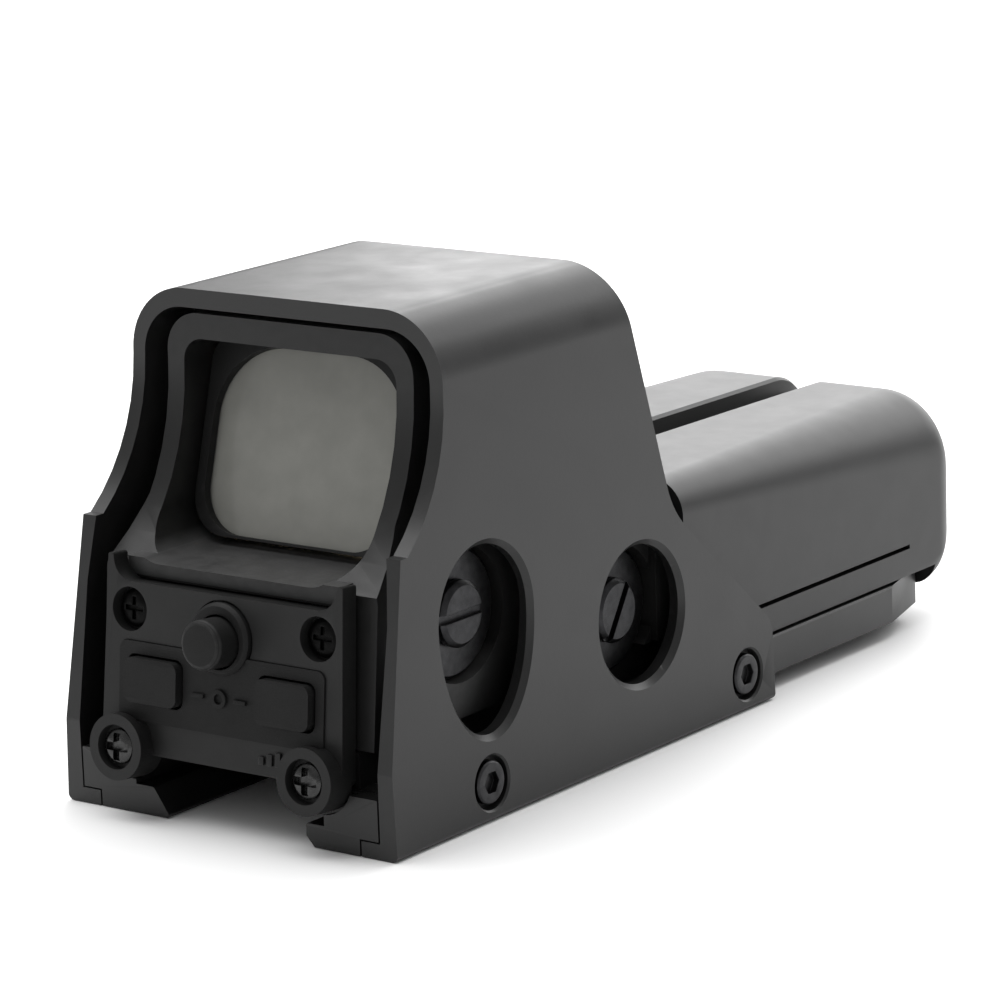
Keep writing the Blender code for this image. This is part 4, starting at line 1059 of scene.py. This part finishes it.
def make_panel():
    """Laid out on its own leaning frame: x to the right, y into the sight, z up the panel."""
    outline = mirrored([(18.9, -17.6, 1.0), (18.3, 6.8, 0.3), (17.5, 6.8, 0.3), (17.2, 3.6, 2.9)])
    panel = panel_plate(0, PANEL_THICK, outline)
    for side in (-1, 1):
        boss = on_side(side, BOSS_CENTRE)
        fuse(panel, panel_rod(boss, BOSS_RADIUS, -BOSS_PROUD, 1.9))
    pocket = mirrored([(16.1, -13.6, 1.2), (16.1, -3.6, 1.2)])
    cut(panel, panel_plate(-1, 0.9, pocket))
    cut(panel, panel_rod((0, -1.7), 4.75, -1, 0.9))
    for side in (-1, 1):
        boss = on_side(side, BOSS_CENTRE)
        cut(panel, panel_rod(boss, 2.8, -5, -1.0))
        cut(panel, panel_rod(boss, 1.65, -5, 5, steps=SMALL_STEPS))
        corner = on_side(side, PANEL_SCREWS)
        cut(panel, panel_rod(corner, 2.75, -1, 1.7))
        cut(panel, panel_rod(corner, 1.35, -1, 5, steps=SMALL_STEPS))
        cut(panel, panel_plate(0.5, 5, arrow_window(side, 0.45)))
    cut(panel, panel_rod(MODE_BUTTON, MODE_BUTTON_RADIUS + 0.45, 0.5, 5))
    part(panel, "button_panel", "moulded_panel")
    detail(corner_bars(), "panel_bars", "button_panel", "moulded_panel", MARK_EDGE_RADIUS)


def corner_bars():
    """Three raised bars of growing height at the panel's lower right."""
    bars = []
    for k, top in enumerate((-15.2, -14.8, -14.4)):
        left = 6.2 + 1.3 * k
        bars.append(panel_box((left, -0.35, -16.2), (left + 0.8, 0.2, top)))
    return fuse(*bars)


def arrow_window(side, margin):
    centre = Vector(on_side(side, ARROW_BUTTON))
    half = Vector(ARROW_BUTTON_HALF) + Vector((margin, margin))
    return rectangle(centre - half, centre + half, 1.2)


def make_keypad():
    """The rubber sheet in the panel's pocket, with a collar round the upper button."""
    sheet = mirrored([(16.04, -13.54, 1.15), (16.04, -3.68, 1.15)])
    keypad = panel_plate(-0.25, 0.6, sheet)
    ring = [(0, 0.6), (4.5, 0.6), (4.5, -0.5), (4.1, -0.95), (0, -0.95)]
    fuse(keypad, panel_turned((0, -1.7), ring))
    for side in (-1, 1):
        cut(keypad, panel_plate(-3, 3, arrow_window(side, 0.3)))
    cut(keypad, panel_rod(MODE_BUTTON, MODE_BUTTON_RADIUS + 0.3, -5, 5))
    part(keypad, "keypad", "rubber")
    detail(middle_marks(), "keypad_marks", "keypad", "rubber", MARK_EDGE_RADIUS)


def middle_marks():
    """A raised dash, ring and dash between the two square buttons."""
    middle = (0, -9.05)
    ring = panel_plate(-0.6, 0, circle(middle, 1.15), circle(middle, 0.65)[::-1])
    dashes = [panel_box((x - 0.9, -0.6, -9.3), (x + 0.9, 0, -8.8)) for x in (-3.3, 3.3)]
    return fuse(ring, *dashes)


def make_buttons():
    for side, name in ((-1, "down_button"), (1, "up_button")):
        button = panel_plate(-1.3, 2.2, arrow_window(side, 0))
        stem = on_side(side, ARROW_BUTTON)
        fuse(button, panel_rod(stem, 1.2, 1.8, BUTTON_INNER_END, steps=SMALL_STEPS))
        part(button, name, "rubber")
    profile = [(0, BUTTON_INNER_END), (1.2, BUTTON_INNER_END), (1.2, 2.0), (MODE_BUTTON_RADIUS, 2.0)]
    profile += [(MODE_BUTTON_RADIUS, -3.9), (MODE_BUTTON_RADIUS - 0.4, -4.3), (0, -4.3)]
    part(panel_turned(MODE_BUTTON, profile), "mode_button", "rubber")


def cross_recess(at, reach, width, low, high):
    """The two crossed slots of a Phillips head."""
    (x, z), half = at, width / 2
    return (
        panel_box((x - reach, low, z - half), (x + reach, high, z + half)),
        panel_box((x - half, low, z - reach), (x + half, high, z + reach)),
    )


def make_panel_screws():
    for side, hand in ((-1, "left"), (1, "right")):
        at = on_side(side, PANEL_SCREWS)
        profile = [(0, 5.6), (1.15, 5.6), (1.15, 1.6), (2.4, 1.6), (2.4, 1.2), (1.7, 0.85), (0, 0.85)]
        screw = panel_turned(at, profile)
        cut(screw, *cross_recess(at, 1.4, 0.6, -1, 1.35))
        # painted shade: these screws get the near-black steel that stands in for the shade of their
        # recesses
        part(screw, f"panel_screw_{hand}", "shade_darkened_steel")

        at = on_side(side, BOSS_CENTRE)
        profile = [(0, 8.0), (1.35, 8.0), (1.35, -1.1), (2.2, -1.1), (2.2, -1.7), (1.5, -2.1), (0, -2.1)]
        screw = panel_turned(at, profile)
        cut(screw, *cross_recess(at, 1.7, 1.0, -3, -1.3))
        part(screw, f"boss_screw_{hand}", "boss_steel")


def make_circuit():
    rear, front = BUTTON_INNER_END + 1.7, BUTTON_INNER_END + 2.7
    board = panel_plate(rear, front, rectangle((-15.8, -11.6), (15.8, -2.9), 0.8))
    fuse(board, panel_box((-5.5, rear, -4), (5.5, front, 1.6)))
    part(board, "circuit_board", "board")
    places = {
        "down_switch": (-ARROW_BUTTON[0], ARROW_BUTTON[1]),
        "up_switch": ARROW_BUTTON,
        "mode_switch": MODE_BUTTON,
    }
    dome = [(0, rear - 0.3), (2.3, rear - 0.3), (1.9, rear - 0.65), (0, rear - 0.75)]
    for name, place in places.items():
        part(panel_turned(place, dome, steps=SMALL_STEPS), name, "spring_steel")


# ---- battery compartment
def make_battery_block():
    """The bulkhead that closes the cap's open end, with a spigot that the gasket sits on."""
    flange = mirrored([(21.6, BASE_TOP + GAP, 0), (21.6, 31.6, 4)])
    block = prism("XZ", 61.4, CAP_START_Y - 0.5, flange)
    spigot = mirrored([(19.1, 14.5, 5.0), (19.1, 29.9, 6.0)])
    fuse(block, prism("XZ", 64, 70.5, spigot))
    groove = mirrored([(18.3, 15.3, 4.4), (18.3, 29.1, 5.4)])
    cut(block, prism("XZ", 66.6, 68.6, mirrored([(25, 5, 0), (25, 40, 0)]), groove))
    cut(block, cylinder("Z", (0, HOUSING_SCREWS_Y[1]), 1.6, 10, 16, steps=SMALL_STEPS))
    part(block, "battery_block", "moulded_panel")
    outer = mirrored([(19.35, 14.2, 5.2), (19.35, 30.15, 6.2)])
    inner = mirrored([(18.5, 15.1, 4.5), (18.5, 29.3, 5.5)])
    part(prism("XZ", 66.85, 68.35, outer, inner), "cap_gasket", "rubber")


def ease(start, end, y):
    """0 until start, then a quarter circle's drop that reaches 1 at end."""
    share = min(1.0, max(0.0, (y - start) / (end - start)))
    return 1 - math.sqrt(1 - share * share)


def cap_ring(y):
    """The cap's outline at one place along it: humps, a channel between them, ever rounder corners."""
    along = (y - CAP_START_Y) / (CAP_END_Y - CAP_START_Y)
    half = CAP_HALF - CAP_NOSE_SIDE[1] * ease(CAP_END_Y - CAP_NOSE_SIDE[0], CAP_END_Y, y)
    top = CAP_TOP - CAP_FALL * along - CAP_NOSE_TOP[1] * ease(CAP_END_Y - CAP_NOSE_TOP[0], CAP_END_Y, y)
    chin = ease(CHIN_START_Y, CAP_END_Y, y)
    bottom = CHIN_Z + CHIN_RISE * chin
    most = MOST_RADIUS * (top - bottom)
    top_radius = min(4.6 + 5.0 * along, most)
    low_radius = min(4.0 + 4.0 * chin, most)
    ramp = min(1, max(0, (y - CHANNEL_RAMP_Y[0]) / (CHANNEL_RAMP_Y[1] - CHANNEL_RAMP_Y[0])))
    depth = SEAL_CHANNEL_DEPTH + (CHANNEL_DEPTH - SEAL_CHANNEL_DEPTH) * ramp
    depth *= 1 - 0.6 * min(1, max(0, (along - 0.8) / 0.2))
    corner = arc((half - low_radius, bottom + low_radius), low_radius, -90, 0, CAP_CORNER_STEPS)
    corner += arc((half - top_radius, top - top_radius), top_radius, 0, 90, CAP_CORNER_STEPS)
    corner += [(CHANNEL_HALF + 0.5, top, 0), (CHANNEL_HALF, top - 0.4, 0)]
    corner.append((CHANNEL_HALF - 0.3, top - depth, 0))
    return [(u, y, v) for u, v, _ in mirrored(corner)]


def cap_stations():
    """Places along the cap: even along its length, then closer together round its front."""
    count = CAP_RINGS
    straight = [CAP_START_Y + (CHIN_START_Y - CAP_START_Y) * k / count for k in range(count)]
    turn = [math.radians(90) * k / (2 * count) for k in range(2 * count + 1)]
    return straight + [CHIN_START_Y + (CAP_END_Y - CHIN_START_Y) * math.sin(angle) for angle in turn]


def make_battery_cap():
    cap = skin([cap_ring(y) for y in cap_stations()])
    cut(cap, box((-PAST, 60, 0), (PAST, BASE_END_Y + 0.4, CAP_SKIRT_Z)))
    cut(cap, box((-20.3, 60, 5), (20.3, BASE_END_Y + 0.4, CAP_FLOOR_Z)))
    low, high = CELL_Z - 7.6, CELL_Z + 7.6
    cells = mirrored([(16.3, low, 7.4), (16.3, high, 7.4), (5.5, high, 0.8), (3.4, high - 2.2, 0.8)])
    cut(cap, prism("XZ", 60, 130.0, cells))
    cut(cap, prism("XZ", 60, 71.2, mirrored([(19.6, 13.95, 5.4), (19.6, 30.4, 6.4)])))
    for sign in (-1, 1):
        left, right = span(sign, 20.0, 25.0)
        cut(cap, box((left, 60, SLIT_Z[0]), (right, SLIT_END_Y, SLIT_Z[1])))
    cut(cap, box((-LATCH_HALF - 0.5, 122.0, 2), (LATCH_HALF + 0.5, 140, 13.2)))
    cut(cap, cylinder("X", LATCH_PIVOT, 0.95, -8.6, 8.6, steps=16))
    part(cap, "battery_cap", "moulded_cap")


def make_latch():
    """The catch lever at the cap's front: pressing its tab down lifts the nose off the base's lip."""
    y, z = LATCH_PIVOT
    side = [
        (124.9, 10.95, 0),
        (126.0, 10.95, 0),
        (127.6, 11.1, 0),
        (129.2, 10.3, 0),
        (131.0, 9.6, 0.5),
        (136.6, 9.3, 0.5),
        (136.9, 11.4, 0.6),
        (133.2, 12.0, 0),
        (131.6, 12.9, 0.8),
        (129.6, 12.9, 0.8),
        (127.5, 12.3, 0),
        (124.9, 12.3, 0),
    ]
    lever = prism("YZ", -LATCH_HALF, LATCH_HALF, side)
    fuse(lever, cylinder("X", (y, z), 0.7, -8.3, 8.3, steps=SMALL_STEPS))
    part(lever, "cap_latch", "moulded_cap")


def make_cells():
    for side, name in ((-1, "left"), (1, "right")):
        nub_forward = side < 0
        length = CELL_Y[1] - CELL_Y[0]
        profile = [(0, length), (2.6, length), (2.6, length - 1.0), (6.6, length - 1.0)]
        profile += [(CELL_RADIUS, length - 1.5), (CELL_RADIUS, 0.4), (6.7, 0), (0, 0)]
        at = (side * CELL_X, CELL_Y[0] if nub_forward else CELL_Y[1], CELL_Z)
        cell = turned("Y", at, profile, flip=not nub_forward)
        part(cell, f"battery_{name}", "cell_wrap")


def coil(x, low, high):
    """A conical contact spring on a cell's axis: one wire wound along Y, wide end first."""
    curve = bpy.data.curves.new("coil", "CURVE")
    curve.dimensions = "3D"
    curve.bevel_depth = 0.3 * MM
    curve.bevel_resolution = 0
    curve.use_fill_caps = True
    spline = curve.splines.new("POLY")
    turns = 3
    count = 8 * turns
    spline.points.add(count)
    for k in range(count + 1):
        share = k / count
        angle = 2 * math.pi * turns * share
        radius = COIL_RADII[0] + (COIL_RADII[1] - COIL_RADII[0]) * share
        y = low + (high - low) * share
        place = (x + radius * math.cos(angle), y, CELL_Z + radius * math.sin(angle))
        spline.points[k].co = (*(value * MM for value in place), 1)
    return add_object("coil", curve)


def make_contacts():
    part(coil(-CELL_X, 71.4, 73.4), "rear_spring", "spring_steel")
    part(coil(CELL_X, 128.6, 125.1), "front_spring", "spring_steel")
    stud = [(0, 3.1), (2.4, 3.1), (2.8, 2.6), (2.8, 0.3), (0, 0.3)]
    part(turned("Y", (CELL_X, 70.5, CELL_Z), stud, steps=SMALL_STEPS), "rear_contact", "brass")
    bridge = prism("XZ", 129.1, 129.7, mirrored([(13.5, CELL_Z - 5, 3), (13.5, CELL_Z + 5, 3)]))
    fuse(bridge, cylinder("Y", (-CELL_X, CELL_Z), 2.6, 124.8, 129.3, steps=SMALL_STEPS))
    part(bridge, "contact_bridge", "brass")


make_hood()
make_hood_screws()
make_base()
make_housing_screws()
make_clamp()
make_optical_housing()
make_windows()
make_adjusters()
make_emitter()
make_panel()
make_keypad()
make_buttons()
make_panel_screws()
make_circuit()
make_battery_block()
make_battery_cap()
make_latch()
make_cells()
make_contacts()
for shape in list(SHAPES.objects):
    bpy.data.objects.remove(shape)


# ---- stage, light and camera
FLOOR_RADIUS = 4.0  # metres, like the floor's gap, the camera's distance and the lights' places
FLOOR_GAP = 0.0001
CAMERA_LENS = 159.4  # focal length for a sensor 36 mm wide
CAMERA_DISTANCE = 0.52306
CAMERA_TARGET = (31.57, 15.16, 41.70)  # mm, in the hood's own layout
CAMERA_AZIMUTH = math.radians(36.755)
CAMERA_ELEVATION = math.radians(13.133)
CAMERA_ROLL = math.radians(-1.943)


def area_light(name, place, aim, size, power):
    light = bpy.data.lights.new(name, "AREA")
    light.shape = "RECTANGLE"
    light.size, light.size_y = size
    light.energy = power
    obj = show(name, light)
    obj.location = place
    obj.rotation_euler = (Vector(aim) - Vector(place)).to_track_quat("-Z", "Y").to_euler()
    return obj


def make_floor():
    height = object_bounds()[0].z
    shape = bmesh.new()
    bmesh.ops.create_circle(shape, cap_ends=True, segments=128, radius=FLOOR_RADIUS)
    floor = show("floor", mesh_of(shape))
    floor.location = (0, 0, height - FLOOR_GAP)
    g = Graph("floor")
    tint = g.blend(g.noise(0.01), grey(0.86), grey(0.9))
    floor.data.materials.append(g.surface(Base_Color=tint, Roughness=g.ranged(g.noise(0.02), 0.55, 0.65)))


def make_light():
    world = bpy.data.worlds.new("studio")
    bpy.context.scene.world = world
    world.use_nodes = True
    sky = world.node_tree.nodes["Background"]
    sky.inputs["Color"].default_value = (1, 1, 1, 1)
    sky.inputs["Strength"].default_value = 0.55
    area_light("overhead", (-0.35, 0.2, 1.3), aim=(-0.2, 0.1, 0), size=(2.0, 1.4), power=30)
    front = area_light("front_panel", (-0.1, 0.75, 0.33), aim=(0, 0.06, 0.03), size=(1.0, 0.55), power=5)
    front.visible_camera = False


def make_camera():
    camera = bpy.data.cameras.new("camera")
    camera.lens = CAMERA_LENS
    camera.sensor_width = 36
    camera.clip_start = 0.01
    camera.clip_end = 20
    obj = show("camera", camera)
    level = math.cos(CAMERA_ELEVATION)
    back = Vector(
        (math.sin(CAMERA_AZIMUTH) * level, -math.cos(CAMERA_AZIMUTH) * level, math.sin(CAMERA_ELEVATION))
    )
    target = (Vector(CAMERA_TARGET) - Vector(SIGHT_ORIGIN)) * MM
    obj.location = target + back * CAMERA_DISTANCE
    turn = back.to_track_quat("Z", "Y").to_matrix().to_4x4()
    obj.rotation_euler = (turn @ Matrix.Rotation(CAMERA_ROLL, 4, "Z")).to_euler()
    bpy.context.scene.camera = obj


make_floor()
make_light()
make_camera()
bpy.context.scene.view_settings.view_transform = "Standard"
